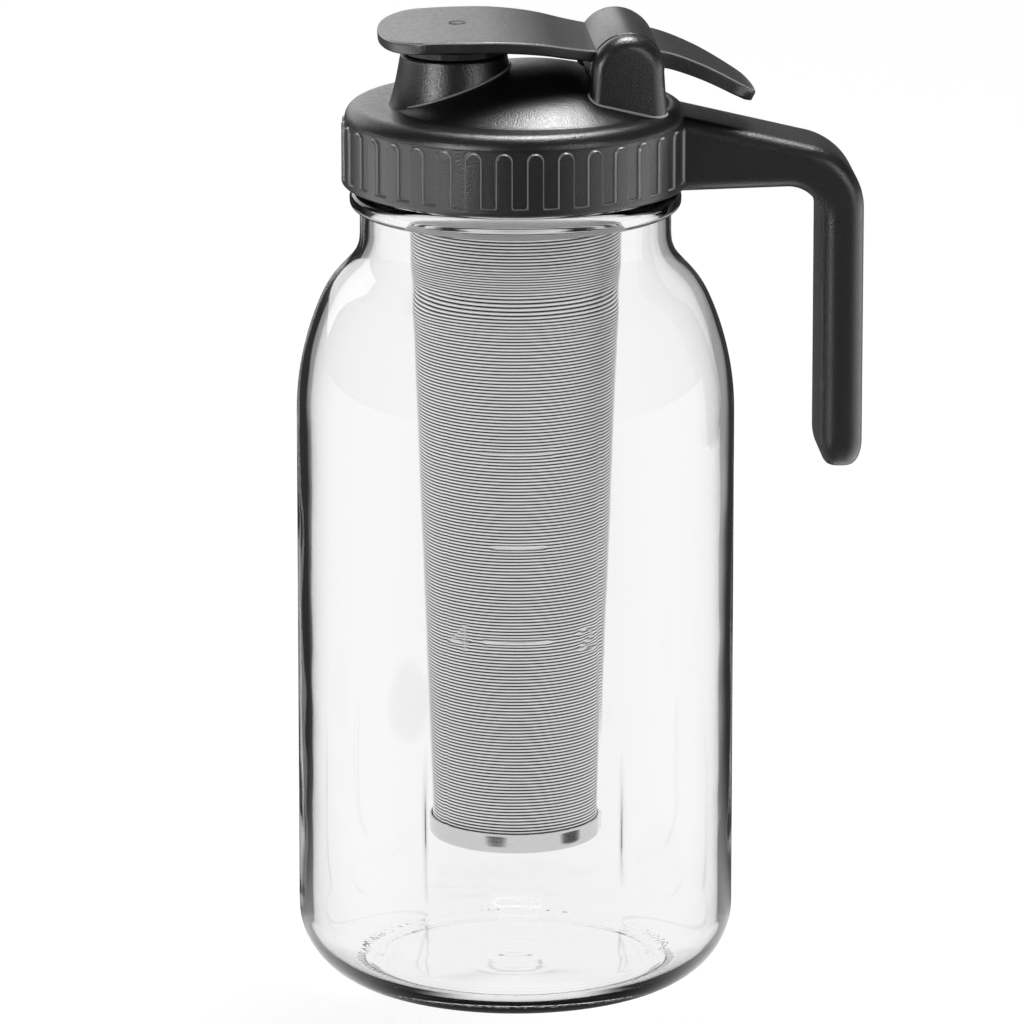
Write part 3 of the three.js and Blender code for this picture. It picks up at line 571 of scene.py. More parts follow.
def jar_surface(s):
    """Outside and inside rows of the jar, and how hazy each point is.

    The outside radius is the profile plus a soft bump of each moulded stroke,
    proud * exp(-(distance / stroke)^2), and a helical bump for the thread. The ridges fade
    between 30 and 60 mm up, and the pill on the heel stands out more than the marks in front.
    """
    body = s.body_radius - s.mark_proud
    shoulder, inner_shoulder = shoulder_curve(s, body)
    ring_out = body - s.heel_radius
    wall_z = stretches((20, 102, 24), (103, 111.5, 26), (113, 130, 8), (131, 133, 9), (134, 155, 12)) * MM
    # every second row of the shoulder is enough, but for the rows over the top tick
    on_tick = np.abs(shoulder[:, 1] - TOP_TICK * MM) < 1.8 * MM
    keep = on_tick | (np.arange(len(shoulder)) % 2 == 0)
    shoulder_rows = shoulder[keep]
    lift = 0.5 - 0.5 * np.cos(np.linspace(0, np.pi, 33))
    soft = 0.5 * MM
    bead_z = s.bead_base - soft + (s.bead_height + 2 * soft) * lift
    bead_r = s.neck_radius + (s.bead_radius - s.neck_radius) * (1 - np.abs(2 * lift - 1) ** 3) ** 0.7
    low = np.linspace(0, 1, 9)[:-1]
    lip, lip_z = s.lip_radius, s.top - s.lip_radius
    outside = np.vstack([
        coords(np.array([10, 20, 28]) * MM, s.pad_lift),
        coords(ring_out - 6 * MM + 6 * MM * low, s.pad_lift * (1 - smooth(low))),
        arc((ring_out, s.heel_radius), s.heel_radius, -90, -2, 40),
        coords(body, wall_z[wall_z < shoulder[0][1] - 0.5 * MM]), shoulder_rows,
        between(shoulder_rows[-1], (s.neck_radius, bead_z[0]), 7),
        coords(bead_r, bead_z),
        between((s.neck_radius, bead_z[-1]), (s.neck_radius, lip_z), 40),
        arc((s.neck_radius - lip, lip_z), lip, 0, 90, 6),
        arc((s.neck_radius - s.wall + lip, lip_z), lip, 90, 180, 6),
    ])
    heel = s.inner_heel
    floor_radius = body - s.wall - heel
    dome_r = np.linspace(floor_radius, 2 * MM, 50)[1:]
    rings = sum(bell(dome_r - place * MM, 0.6 * MM) * tall * MM
                for place, tall in ((6, 0.1), (11, 0.04), (36.5, 0.25), (39.5, 0.3)))
    dome = s.floor + s.kick * (1 - (dome_r / floor_radius) ** 2) ** 2 + rings
    inside = np.vstack([
        inner_shoulder[keep][::-1],
        between((body - s.wall, inner_shoulder[0][1]), (body - s.wall, s.floor + heel), 14),
        arc((floor_radius, s.floor + heel), heel, 0, -90, 18),
        coords(dome_r, dome),
    ])
    columns = jar_columns(s)
    rows = turn(np.vstack([outside, inside]), columns)
    outer = rows[:len(outside)]
    height, in_front = outer[:, :, 2], np.sin(columns) < 0
    marks = distance_to(front_strokes(), s.body_radius * np.sin(columns + np.pi / 2), height)
    ridges, pill = [distance_to(segments, outer[:, :, 0], height) for segments in back_strokes()]
    faintest, pill_gain = 0.04, 20
    fading = faintest + (1 - faintest) * smooth((60 * MM - height) / (30 * MM))
    behind = (s.ridge_proud * fading * bell(ridges, s.ridge_stroke)
              + pill_gain * s.mark_proud * bell(pill, s.mark_stroke))
    swell = np.where(in_front, s.mark_proud * bell(marks, s.mark_stroke), behind)
    push_out(outer, swell + thread_swell(s, columns, height), columns)
    haze = np.zeros(rows.shape[:2])
    haze[:len(outside)] = bell(np.where(in_front, marks, pill), s.haze_stroke)
    return rows, np.append(haze.ravel(), [0, 0])


def thread_swell(s, columns, height):
    """Helical thread: a rounded ridge whose middle climbs one pitch a turn, faded at both ends."""
    swell = np.zeros_like(height)
    half_height, length_in_turns, fade_in_turns = 1.1 * MM, 1.25, 0.08
    for lap in range(2):
        travelled = columns / (2 * np.pi) + lap
        middle = s.thread_bottom + s.thread_pitch * travelled
        fade = smooth(travelled / fade_in_turns) * smooth((length_in_turns - travelled) / fade_in_turns)
        ridge = np.clip(1 - np.abs(height - middle) / half_height, 0, 1)
        swell += s.thread_depth * fade * smooth(ridge * 1.4)
    return swell


class BREW_OT_jar(bpy.types.Operator):
    """Makes the glass jar with its moulded marks and screw thread"""
    bl_idname = "brew.jar"
    bl_label = "Glass jar"

    def execute(self, context):
        s = sizes("jar")
        rows, haze = jar_surface(s)
        jar = skin("jar_glass_body", rows, start=(0, 0, s.pad_lift), end=(0, 0, s.floor + s.kick), crease=50)
        store(jar, "moulded_stroke", haze)
        dress(jar, "jar", pressed_clear_glass(), ["glass_jar"])
        return {"FINISHED"}


# Filter

def mesh_rows(s):
    """Cone of woven wire: radius = taper + depth * sin(pi * height / pitch)^2, over a plain inside.

    Returns the rows and how far up its wire each point lies, 0 to 1.
    """
    around, steps_per_wire, wall = 96, 4, 0.8 * MM
    wires = int(round((s.top - s.bottom) / s.wire_pitch))
    share = np.linspace(0, 1, wires * steps_per_wire + 1)
    taper = s.bottom_radius + (s.top_radius - s.bottom_radius) * share
    wave = np.sin(np.pi * wires * share) ** 2
    outside = coords(taper - s.wire_depth * (1 - wave), s.bottom + (s.top - s.bottom) * share)
    inside = [[s.top_radius - wall, s.top], [s.bottom_radius - wall, s.bottom]]
    return turn(np.vstack([outside, inside]), around), np.repeat(np.append(wave, [0, 0]), around)


def cup_rows(s):
    """Drawn steel cup: flat underside, rounded heel, plain wall with a rolled rim."""
    share = (s.cup_top - s.bottom) / (s.top - s.bottom)
    gap, round_off, rim = 0.3 * MM, 1.5 * MM, s.steel / 2
    inner = s.bottom_radius + (s.top_radius - s.bottom_radius) * share + gap
    outer = inner + s.steel
    under = s.bottom - gap - s.steel
    profile = np.vstack([
        [[8 * MM, under], [16 * MM, under]],
        arc((outer - round_off, under + round_off), round_off, -90, 0, 10),
        between((outer, under + round_off), (outer, s.cup_top - rim), 4),
        arc((inner + rim, s.cup_top - rim), rim, 0, 180, 8),
        [[inner, s.bottom + round_off], [inner - round_off, s.bottom - gap]],
    ])
    return turn(profile, 128)


class BREW_OT_filter(bpy.types.Operator):
    """Makes the mesh tube, its steel rim and its steel bottom cup"""
    bl_idname = "brew.filter"
    bl_label = "Mesh filter"

    def execute(self, context):
        s = sizes("filter")
        steel = polished_stainless_steel()
        rows, heights = mesh_rows(s)
        tube = skin("mesh_tube", rows, closed=True, crease=180)
        store(tube, "wire_height", heights)
        dress(tube, "jar", woven_stainless_wire(), ["filter_mesh"])
        floor_z = s.bottom - 0.3 * MM
        cup = skin("steel_bottom_cup", cup_rows(s), start=(0, 0, floor_z - s.steel), end=(0, 0, floor_z))
        dress(cup, "jar", steel, ["filter_bottom_cup"])
        coat(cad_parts["filter_rim"], steel)
        pale = moulded_silicone("white_silicone", sizes("finish").silicone_white)
        coat(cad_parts["filter_seal"], pale)
        coat(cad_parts["lid_gasket"], pale)
        return {"FINISHED"}


# Lid

ROOT = 0.6 * MM


def crown_ball(s):
    """Radius of the ball whose cap is the crown, and the height of its centre."""
    radius = (s.crown_radius ** 2 + s.crown_rise ** 2) / (2 * s.crown_rise)
    return radius, s.deck_top + s.crown_rise - radius


def crown_profile(s, offset, steps):
    """Ball cap over the deck, from the axis out; offset moves it along its own normal."""
    ball, centre = crown_ball(s)
    turns = np.linspace(0, math.asin(s.crown_radius / ball), steps + 1)[1:]
    return coords((ball + offset) * np.sin(turns), centre + (ball + offset) * np.cos(turns))


def lid_profile(s):
    """Half section of the lid from the crown's top over deck and skirt, and its way back inside."""
    crown = crown_profile(s, 0, 22)
    foot = crown[-1]
    fillet, edge, band, ribs = s.shoulder_fillet, s.edge_fillet, s.band_top, s.rib_top
    # the rows lie close together at the band's edge and at the ribs' round tops
    skirt = stretches((s.skirt_bottom + edge, band - 0.5 * MM, 4), (band - 0.4 * MM, band + 0.9 * MM, 14),
                      (band + 1.4 * MM, ribs - 3 * MM, 6), (ribs - 2.7 * MM, ribs + 0.35 * MM, 24),
                      (ribs + 0.8 * MM, ribs + 0.8 * MM, 1))[::-1]
    outside = np.vstack([
        crown[:-1],
        between(foot + [-0.35 * MM, 0.14 * MM], foot + [0.5 * MM, 0.0], 2) - [0, 0.04 * MM],
        between((s.crown_radius + ROOT, s.deck_top), (s.skirt_radius - fillet, s.deck_top), 3),
        arc((s.skirt_radius - fillet, s.deck_top - fillet), fillet, 90, 0, 14),
        coords(s.skirt_radius, skirt),
        arc((s.skirt_radius - edge, s.skirt_bottom + edge), edge, -15, -90, 6),
    ])
    chamfer, ceiling = 0.3 * MM, s.deck_top - s.wall
    inside = np.vstack([
        [[s.bore_radius + chamfer, s.skirt_bottom], [s.bore_radius, s.skirt_bottom + chamfer],
         [s.bore_radius, ceiling - chamfer], [s.bore_radius - chamfer, ceiling],
         [s.crown_radius - s.wall, ceiling]],
        crown_profile(s, -s.wall, 8)[::-1][1:],
    ])
    return outside, inside


def rib_columns(s):
    """Angles round the lid, close together at both edges of every rib."""
    half = s.rib_width / 2
    pitch = 2 * np.pi / s.ribs
    side = np.array([0.15, 0.35, 0.55, 0.75, 0.88]) * half
    edge = half + np.array([-0.14, -0.07, 0, 0.07, 0.14, 0.3]) * MM
    gap = np.array([0.35, 0.7]) * (pitch * s.skirt_radius / 2 - half) + half
    steps = np.concatenate([side, edge, gap]) / s.skirt_radius
    one = np.concatenate([-steps[::-1], steps])
    starts = (np.arange(s.ribs) + 0.5) * pitch
    return np.sort((starts[:, None] + one).ravel() % (2 * np.pi))


def rib_swell(s, columns, height):
    """How far the skirt stands out: full on the round-topped ribs and on the band that joins them.

    The signed distance to a rib is that of a slot with a round top. The band is a half plane, and
    the two are joined by a smooth minimum, which rounds the inner corners of the flutes.
    """
    corner, flank = 0.5 * MM, 0.36 * MM
    pitch = 2 * np.pi / s.ribs
    across = np.abs(columns % pitch - pitch / 2) * s.skirt_radius
    half = s.rib_width / 2
    round_top = np.hypot(across, np.maximum(height - (s.rib_top - half), 0)) - half
    band = height - s.band_top
    share = np.clip(0.5 + 0.5 * (band - round_top) / corner, 0, 1)
    joined = band + (round_top - band) * share - corner * share * (1 - share)
    return s.rib_proud * smooth(0.5 - joined / flank)


def rib_edge_highlight(s, points):
    """How much painted highlight the skirt's rib edges get: 4 a (1 - a), where a is the ribs' swell as a
    share, outside alone.
    """
    x, y, z = points.T
    share = rib_swell(s, np.arctan2(y, x) % (2 * np.pi), z) / s.rib_proud
    outside = (np.hypot(x, y) > s.skirt_radius - 0.05 * MM) & (z > s.skirt_bottom + s.edge_fillet)
    return np.where(outside, 4 * share * (1 - share), 0)


def lid_rows(s, h):
    """The lid's rows: ribs swell the skirt, the crown moves aside and gets a flat seat for the barrel."""
    outside, inside = lid_profile(s)
    columns = rib_columns(s)
    rows = turn(np.vstack([outside, inside]), columns)
    outer = rows[:len(outside)]
    near_edge = np.clip((outer[:, :, 2] - s.skirt_bottom) / s.edge_fillet, 0, 1)
    swell = rib_swell(s, columns, outer[:, :, 2]) * (1 - (1 - near_edge) ** 2)
    swell[np.hypot(outer[:, :, 0], outer[:, :, 1]) < s.bore_radius] = 0
    push_out(outer, swell, columns)
    deck_radius = s.skirt_radius - s.shoulder_fillet
    reach = np.hypot(rows[:, :, 0], rows[:, :, 1])
    rows[:, :, 0] += s.crown_x * np.clip((deck_radius - reach) / (deck_radius - s.crown_radius - ROOT), 0, 1)
    seat = h.z - h.flat_drop - 0.3 * MM
    under = (rows[:, :, 0] > h.x - h.hub_radius) & (np.abs(rows[:, :, 1]) < h.half_length)
    rows[:, :, 2] = np.where(under, np.minimum(rows[:, :, 2], seat), rows[:, :, 2])
    return rows


def spout_rows(s):
    """Tapered spout with a flared foot, a rounded lip and a plain bore."""
    lip, flare = 0.9 * MM, 0.9 * MM
    foot_z, lip_z = s.deck_top - ROOT, s.spout_top - lip
    taper = np.linspace(0, 1, 14)
    height = foot_z + (lip_z - foot_z) * taper
    profile = np.vstack([
        coords(s.spout_base + (s.spout_lip - s.spout_base) * taper + flare * (1 - taper) ** 4, height),
        arc((s.spout_lip - lip, lip_z), lip, 10, 90, 6),
        arc((s.spout_bore + lip, lip_z), lip, 90, 180, 6),
        [[s.spout_bore, s.deck_top + 4 * MM], [s.spout_bore, foot_z]],
    ])
    return turn(profile, 128, s.spout_x)


def cut_bore(piece, s):
    """Cuts the spout's bore through the crown, so that the open spout leads into the jar."""
    low, high = s.deck_top - 8 * MM, s.spout_top + 4 * MM
    drill = skin("bore_drill", turn([[s.spout_bore, low], [s.spout_bore, high]], 128, s.spout_x),
                 start=(s.spout_x, 0, low), end=(s.spout_x, 0, high))
    cut = piece.modifiers.new("bore", "BOOLEAN")
    cut.operation, cut.solver, cut.object = "DIFFERENCE", "EXACT", drill
    graph = bpy.context.evaluated_depsgraph_get()
    result = bpy.data.meshes.new_from_object(piece.evaluated_get(graph))
    piece.modifiers.clear()
    piece.data = result
    bpy.data.objects.remove(drill)


def face_y(h, x, side):
    """Inner face of a hinge tower: it leans in toward the handle as the barrel narrows."""
    return side * (h.half_length + h.end_gap - 0.16 * (x - h.x))


def tower_steps(h):
    """Depths from a tower's inner face, and how far the outline is drawn in there."""
    turns = np.linspace(0, np.pi / 2, 9)
    depths = np.append(0, h.tower_thickness - h.tower_round + h.tower_round * np.sin(turns))
    return depths, np.append(0, h.tower_draw * (1 - np.cos(turns)))


def tower_rows(h, deck_top, side):
    """Bullet-shaped tower: a round-topped outline, drawn in toward its outer face on a quarter ellipse."""
    base = deck_top - ROOT
    rise = np.linspace(0, 1, 12)[:, None]
    rows = []
    for depth, inset in zip(*tower_steps(h)):
        half = h.tower_half_width - inset
        foot_r, foot_l = np.array([h.x + half, base]), np.array([h.x - half, base])
        dome = arc((h.x, h.z), h.tower_radius - inset, 0, 180, 36)
        right = foot_r + (dome[0] - foot_r) * rise[:-1]
        left = dome[-1] + (foot_l - dome[-1]) * rise[1:]
        x, z = np.vstack([right, dome, left]).T
        rows.append(coords(x, face_y(h, x, side) + side * depth, z))
    return np.array(rows)


def lid_ground(s, x, y):
    """Height of the lid's top at (x, y): the deck, or the ball-shaped crown where it is higher."""
    ball, centre = crown_ball(s)
    aside = np.minimum((x - s.crown_x) ** 2 + y ** 2, ball ** 2)
    return np.maximum(centre + np.sqrt(ball ** 2 - aside), s.deck_top)


def fillet_rows(s, plan):
    """Round bead of radius r along a closed foot line: point + r * (cos a * outward, sin a * up).

    plan(height) gives the foot line's points as x and y at a height; four passes find the height.
    """
    x, y = plan(s.deck_top)
    for _ in range(4):
        x, y = plan(lid_ground(s, x, y))
    z = lid_ground(s, x, y)
    ahead = coords(np.roll(x, -1) - np.roll(x, 1), np.roll(y, -1) - np.roll(y, 1))
    ahead /= np.linalg.norm(ahead, axis=1, keepdims=True)
    angles = np.linspace(0, 2 * np.pi, 12, endpoint=False)[:, None]
    out = s.foot_fillet * np.cos(angles)
    return coords(x + out * ahead[:, 1], y - out * ahead[:, 0], z + s.foot_fillet * np.sin(angles))


def spout_plan(s):
    """Foot line of the spout: a circle that narrows with the spout's taper."""
    around = np.linspace(0, 2 * np.pi, 240, endpoint=False)

    def plan(height):
        taper = (height - s.deck_top) / (s.spout_top - s.deck_top)
        radius = s.spout_base + (s.spout_lip - s.spout_base) * taper
        return s.spout_x + radius * np.cos(around), radius * np.sin(around)
    return plan


def tower_plan(s, h, side):
    """Foot line of a hinge tower: its outline at a height, out along one edge and back along the other."""
    depths, insets = tower_steps(h)
    low = s.deck_top - ROOT
    signs = np.repeat([1, -1], len(depths))
    inset, depth = np.append(insets, insets[::-1]), np.append(depths, depths[::-1])

    def plan(height):
        rise = (height - low) / (h.z - low)
        x = h.x + signs * (h.tower_half_width - inset + (h.tower_radius - h.tower_half_width) * rise)
        return x, face_y(h, x, side) + side * depth
    return plan


class BREW_OT_lid(bpy.types.Operator):
    """Makes the lid: crown, deck, ribbed skirt, spout and hinge towers"""
    bl_idname = "brew.lid"
    bl_label = "Lid"

    def execute(self, context):
        s, h = sizes("lid"), sizes("hinge")
        plastic = moulded_black_plastic()
        top_z = s.deck_top + s.crown_rise
        shell = skin("lid_moulding", lid_rows(s, h), start=(s.crown_x, 0, top_z),
                     end=(s.crown_x, 0, top_z - s.wall), flip=True)
        cut_bore(shell, s)
        # painted highlight along the edges of the ribs
        store(shell, "edge_highlight_share", rib_edge_highlight(s, points_of(shell)))
        dress(shell, "lid", plastic, ["lid_cap"])
        dress(skin("lid_spout", spout_rows(s), closed=True), "lid", plastic)

        def add_foot(name, plan):
            foot = skin(name, fillet_rows(s, plan), closed=True)
            # painted highlight: the whole foot bead takes the lighter colour
            store(foot, "edge_highlight_share", np.ones(len(foot.data.vertices)))
            dress(foot, "lid", plastic)

        for name, side in (("tower_front", -1), ("tower_back", 1)):
            inner = np.array([h.x, face_y(h, h.x, side), h.z - 4 * MM])
            tower = skin(name, tower_rows(h, s.deck_top, side), start=inner,
                         end=inner + [0, side * h.tower_thickness, 0], flip=side > 0)
            dress(tower, "lid", plastic)
            add_foot(name + "_foot", tower_plan(s, h, side))
        add_foot("spout_foot", spout_plan(s))
        coat(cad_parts["hinge_pin"], plastic)
        return {"FINISHED"}


# Lever

def curve_through(stations, x):
    """Smooth curve through [x, value] stations in millimetres: a piecewise cubic with even tangents."""
    places, values = np.asarray(stations, dtype=float).T * MM
    slopes = np.gradient(values, places)
    x = np.clip(x, places[0], places[-1])
    k = np.clip(np.searchsorted(places, x) - 1, 0, len(places) - 2)
    span = places[k + 1] - places[k]
    t = (x - places[k]) / span
    return ((2 * t ** 3 - 3 * t ** 2 + 1) * values[k] + (t ** 3 - 2 * t ** 2 + t) * span * slopes[k]
            + (-2 * t ** 3 + 3 * t ** 2) * values[k + 1] + (t ** 3 - t ** 2) * span * slopes[k + 1])


# Top of the lever, [x, height], and its half width in plan, [x, half width], in millimetres.
LEVER_TOP = [[-36.4, 258.4], [-26, 259.4], [-14, 259.7], [-3, 259.5], [7, 258.4], [14, 257], [21, 255.9],
             [28, 255.7], [37, 255.1], [47, 251.5], [57, 246], [61.3, 243.2], [63.6, 241.2]]
LEVER_HALF_WIDTH = [[-24, 24.2], [-14, 25.2], [-3, 24.8], [7, 23.2], [17, 20.4], [28, 18.2], [39, 15.4],
                    [50, 13.6], [60, 11]]
# End of the plug's stem on the lever: [radius, height over the lever's top], in millimetres.
STEM_END = [[2.4, -0.8], [2.4, -0.1], [2.2, 0.12], [1.9, 0.12], [1.5, -0.05], [0.5, -0.05]]


def lever_half_width(s, x):
    """Half width in plan: the stations' curve, rounded off over the nose and the tip."""
    nose = np.clip((x - s.nose_x) / (12.4 * MM), 0, 1)
    tip = np.clip((s.tip_x - x) / (6 * MM), 0, 1)
    return (curve_through(LEVER_HALF_WIDTH, x) * (1 - (1 - nose) ** 2) ** 0.42
            * (1 - (1 - tip) ** 2.4) ** 0.42)


def lever_rows(s, h):
    """Lever as nested outlines, from the underside's spine over the rim to the top's spine.

    The outline runs round the plan. Each row draws it toward the spine by an inset and sits at a
    depth under the top surface, measured square to it; near the rim the two follow a round edge.
    """
    steps = 150
    share = 0.5 - 0.5 * np.cos(np.linspace(0, np.pi, steps))
    x_near = s.nose_x + (s.tip_x - s.nose_x) * share
    x = np.append(x_near, x_near[::-1][1:-1])
    y = np.repeat([-1.0, 1.0], [steps, steps - 2]) * lever_half_width(s, x)
    spine = np.clip(x, s.nose_x + 14 * MM, s.tip_x - 8 * MM)
    reach = np.hypot(x - spine, y)
    at_barrel = np.clip((x - h.x) / h.hub_radius, 0, 1)
    late = np.clip((x - h.x - h.hub_radius) / (s.tip_x - h.x - h.hub_radius), 0, 1)
    thick = s.thickness + (s.tab_thickness - s.thickness) * at_barrel
    thick = thick + (s.tip_thickness - s.tab_thickness) * late

    def row(inset, depth):
        keep = np.clip(1 - inset / np.maximum(reach, 1e-6), 0, 1)
        px, py = spine + (x - spine) * keep, y * keep
        ahead, back = curve_through(LEVER_TOP, px + 0.5 * MM), curve_through(LEVER_TOP, px - 0.5 * MM)
        slope = np.arctan2(ahead - back, MM)
        return coords(px + depth * np.sin(slope), py, curve_through(LEVER_TOP, px) - depth * np.cos(slope))

    steps_in = [(reach * part, 0.0) for part in (0.999, 0.8, 0.6, 0.4, 0.2, 0.1)]
    steps_in += [(s.edge * (1 - np.cos(t)), s.edge * (1 - np.sin(t)))
                 for t in np.linspace(0, np.pi / 2, 7)[::-1]]
    return np.array([row(inset, thick - depth) for inset, depth in steps_in]
                    + [row(inset, depth) for inset, depth in steps_in[::-1]])


def hub_rows(h):
    """Barrel with a flat underside, its ends softened by a small round."""
    flat = math.degrees(math.asin(h.flat_drop / h.hub_radius))
    soft = 0.5 * MM
    turns = np.linspace(0, np.pi / 2, 5)
    rows = []
    for side, t in [(-1, t) for t in turns] + [(1, t) for t in turns[::-1]]:
        outline = arc((h.x, h.z), h.hub_radius - soft * (1 - np.sin(t)), -flat, 180 + flat, 60)
        base = between(outline[-1], outline[0], 8)
        base[:, 1] = outline[-1][1]
        x, z = np.vstack([outline, base]).T
        rows.append(coords(x, face_y(h, x, side) - side * (h.end_gap + soft * (1 - np.cos(t))), z))
    return np.array(rows)


def weld(piece):
    """Joins points that meet, such as both halves of a collapsed spine, and faces the mesh outward."""
    work = bmesh.new()
    work.from_mesh(piece.data)
    bmesh.ops.remove_doubles(work, verts=work.verts, dist=0.06 * MM)
    bmesh.ops.recalc_face_normals(work, faces=work.faces)
    work.to_mesh(piece.data)
    work.free()
    shade(piece.data, 60)


class BREW_OT_lever(bpy.types.Operator):
    """Makes the flip lever with its barrel, and the plug under its head"""
    bl_idname = "brew.lever"
    bl_label = "Flip lever"

    def execute(self, context):
        s, h = sizes("lever"), sizes("hinge")
        plastic = bpy.data.materials["moulded_black_abs"]
        black = sizes("finish").silicone_black
        blade = skin("lever_blade", lever_rows(s, h), crease=60)
        weld(blade)
        # the upper rim gets a painted highlight: a bell over the points whose normals lean 57 degrees outward
        store(blade, "edge_highlight_share", bell(points_of(blade, "normal")[:, 2] - 0.55, 0.15))
        dress(blade, "lever", plastic, ["flip_lever"])
        place = np.array([s.stem_x, s.stem_y, curve_through(LEVER_TOP, np.array([s.stem_x]))[0]])
        stem = np.array(STEM_END) * MM + [0, place[2]]
        tip = skin("plug_stem_end", turn(stem, 64, s.stem_x) + [0, s.stem_y, 0],
                   start=(*place[:2], stem[0][1]), end=(*place[:2], stem[-1][1]))
        dress(tip, "lever", moulded_silicone("plug_stem_silicone", black))
        start, end = [(h.x, face_y(h, h.x, side) - side * h.end_gap, h.z + 2 * MM) for side in (-1, 1)]
        hub = skin("lever_barrel", hub_rows(h), start=start, end=end, flip=True)
        dress(hub, "lever", plastic)
        coat(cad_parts["spout_plug"], moulded_silicone("black_silicone", black))
        return {"FINISHED"}


# Handle

def handle_stations(s, root_radius):
    """Outer and inner points of every section along the handle, from the skirt to the grip's end.

    Both lines are an arm, a bend, a grip and a foot that is drawn in on a quarter ellipse. Returns
    them and how far the sides are drawn in.
    """
    fall, slope = math.tan(s.slope), math.degrees(s.slope)
    bend_x, inner_bend_x = s.outer_x - s.outer_bend, s.inner_x - s.inner_bend
    bend_z = s.top_at_root - fall * (bend_x - root_radius) - s.outer_bend / math.cos(s.slope)
    start, foot_z = root_radius - 2.8 * MM, s.bottom + s.foot
    turns = np.linspace(0, np.pi / 2, 12)[1:]
    drop, draw = s.foot * np.sin(turns), s.foot_draw * (1 - np.cos(turns))

    def line(arm_start, arm_end, bend, grip_x, foot_draw):
        arm = np.array(arm_start) + (np.array(arm_end) - arm_start) * np.linspace(0, 1, 20)[:-1, None]
        grip = bend[-1] + ([grip_x, foot_z] - bend[-1]) * np.linspace(0, 1, 14)[1:, None]
        return np.vstack([arm, bend, grip, coords(grip_x + foot_draw, foot_z - drop)])

    outer = line((start, s.top_at_root - fall * (start - root_radius)),
                 (bend_x + s.outer_bend * math.sin(s.slope), bend_z + s.outer_bend * math.cos(s.slope)),
                 arc((bend_x, bend_z), s.outer_bend, 90 - slope, 0, 32), s.outer_x, -draw)
    inner = line((start, s.under_at_root), (inner_bend_x, s.under_at_bend),
                 arc((inner_bend_x, s.under_at_bend - s.inner_bend), s.inner_bend, 90, 0, 32),
                 s.inner_x, draw)
    return outer, inner, np.append(np.zeros(len(outer) - len(draw)), draw)


def handle_rows(s, root_radius):
    """Rounded rectangle carried from the skirt round the bend to the grip's end."""
    corner = np.linspace(0, np.pi / 2, 8)
    rows = []
    for high, low, draw in zip(*handle_stations(s, root_radius)):
        depth = np.linalg.norm(high - low)
        half = s.half_width - draw
        edge = min(s.edge, depth / 2.4)
        c, n = edge * (1 - np.cos(corner)), edge * (1 - np.sin(corner))
        across = np.concatenate([-(half - n), -(half - n[::-1]), half - n, half - n[::-1]])
        along = np.concatenate([c, depth - c[::-1], depth - c, c[::-1]])
        x, z = (high + (low - high) * (along / depth)[:, None]).T
        rows.append(coords(x, across, z))
    return np.array(rows)


class BREW_OT_handle(bpy.types.Operator):
    """Makes the handle"""
    bl_idname = "brew.handle"
    bl_label = "Handle"

    def execute(self, context):
        rows = handle_rows(sizes("handle"), sizes("lid").skirt_radius + sizes("lid").rib_proud)
        start, end = rows[0].mean(axis=0), rows[-1].mean(axis=0)
        handle = skin("handle_moulding", rows, start=start, end=end, crease=60)
        weld(handle)
        dress(handle, "lid", bpy.data.materials["moulded_black_abs"], ["handle"])
        return {"FINISHED"}


# Stage

CAMERA_TARGET = Vector((-0.93, 0.0, 127.1)) * MM
CAMERA_DISTANCE = 2.4
CAMERA_PITCH = math.radians(14.2)
CAMERA_AZIMUTH = math.radians(-4.0)
PICTURE_WIDTH = 1024
FOCAL_PIXELS = 8998.0
SENSOR = 36.0
# Softboxes that dull reflections show: direction and strength. Two stand in front at 45 degrees, and
# one stands high up behind, for the part of the crown that the lever leaves open.
SOFTBOXES = (((-0.688, -0.712, 0.139), 16.0), ((0.649, -0.721, 0.242), 6.0), ((0.098, 0.395, 0.914), 17.0))
SOFTBOX_EDGE = (0.968, 0.988)
# A black card's dark fades out between these distances from its middle.
CARD_EDGE = (0.058, 0.034)


def area_light(name, place, target, width, height, power):
    """A soft rectangular lamp at a place, aimed at a target."""
    lamp = bpy.data.lights.new(name, "AREA")
    lamp.shape = "RECTANGLE"
    lamp.size, lamp.size_y, lamp.energy = width, height, power
    holder = put(name, lamp)
    holder.location = place
    holder.rotation_euler = (Vector(target) - Vector(place)).to_track_quat("-Z", "Y").to_euler()
    holder.visible_camera = holder.visible_transmission = False


def flat_panel(name, centre, along, up, material):
    """A flat rectangular panel given by its centre and two half-side vectors."""
    centre, along, up = np.array([centre, along, up], dtype=float)
    corners = [centre - along - up, centre + along - up, centre + along + up, centre - along + up]
    mesh = bpy.data.meshes.new(name)
    mesh.from_pydata([tuple(c) for c in corners], [], [(0, 1, 2, 3)])
    mesh.materials.append(material)
    panel = put(name, mesh)
    return panel


def black_card(name, centre, along, up):
    """Black card that only mirrors inside the glass reflect: it gives polished steel its darks."""
    material, tree, place = new_material(name + "_felt")
    path = add(tree, "LightPath").outputs
    felt = add(tree, "BsdfDiffuse", {"Color": (0, 0, 0, 1)}).outputs[0]
    clear = add(tree, "BsdfTransparent").outputs[0]
    inside = maths(tree, "GREATER_THAN", path["Transmission Depth"], 1.5)
    mirrored = maths(tree, "GREATER_THAN", path["Glossy Depth"], 0.5)
    off = add(tree, "VectorMath", {0: place, 1: centre}, operation="DISTANCE").outputs["Value"]
    shown = maths(tree, "MULTIPLY", maths(tree, "MULTIPLY", inside, mirrored),
                  ramp(tree, off, *CARD_EDGE, kind="SMOOTHSTEP"))
    add(tree, "OutputMaterial", {"Surface": either(tree, shown, clear, felt)})
    card = flat_panel(name, centre, along, up, material)
    card.visible_camera = card.visible_diffuse = card.visible_shadow = False


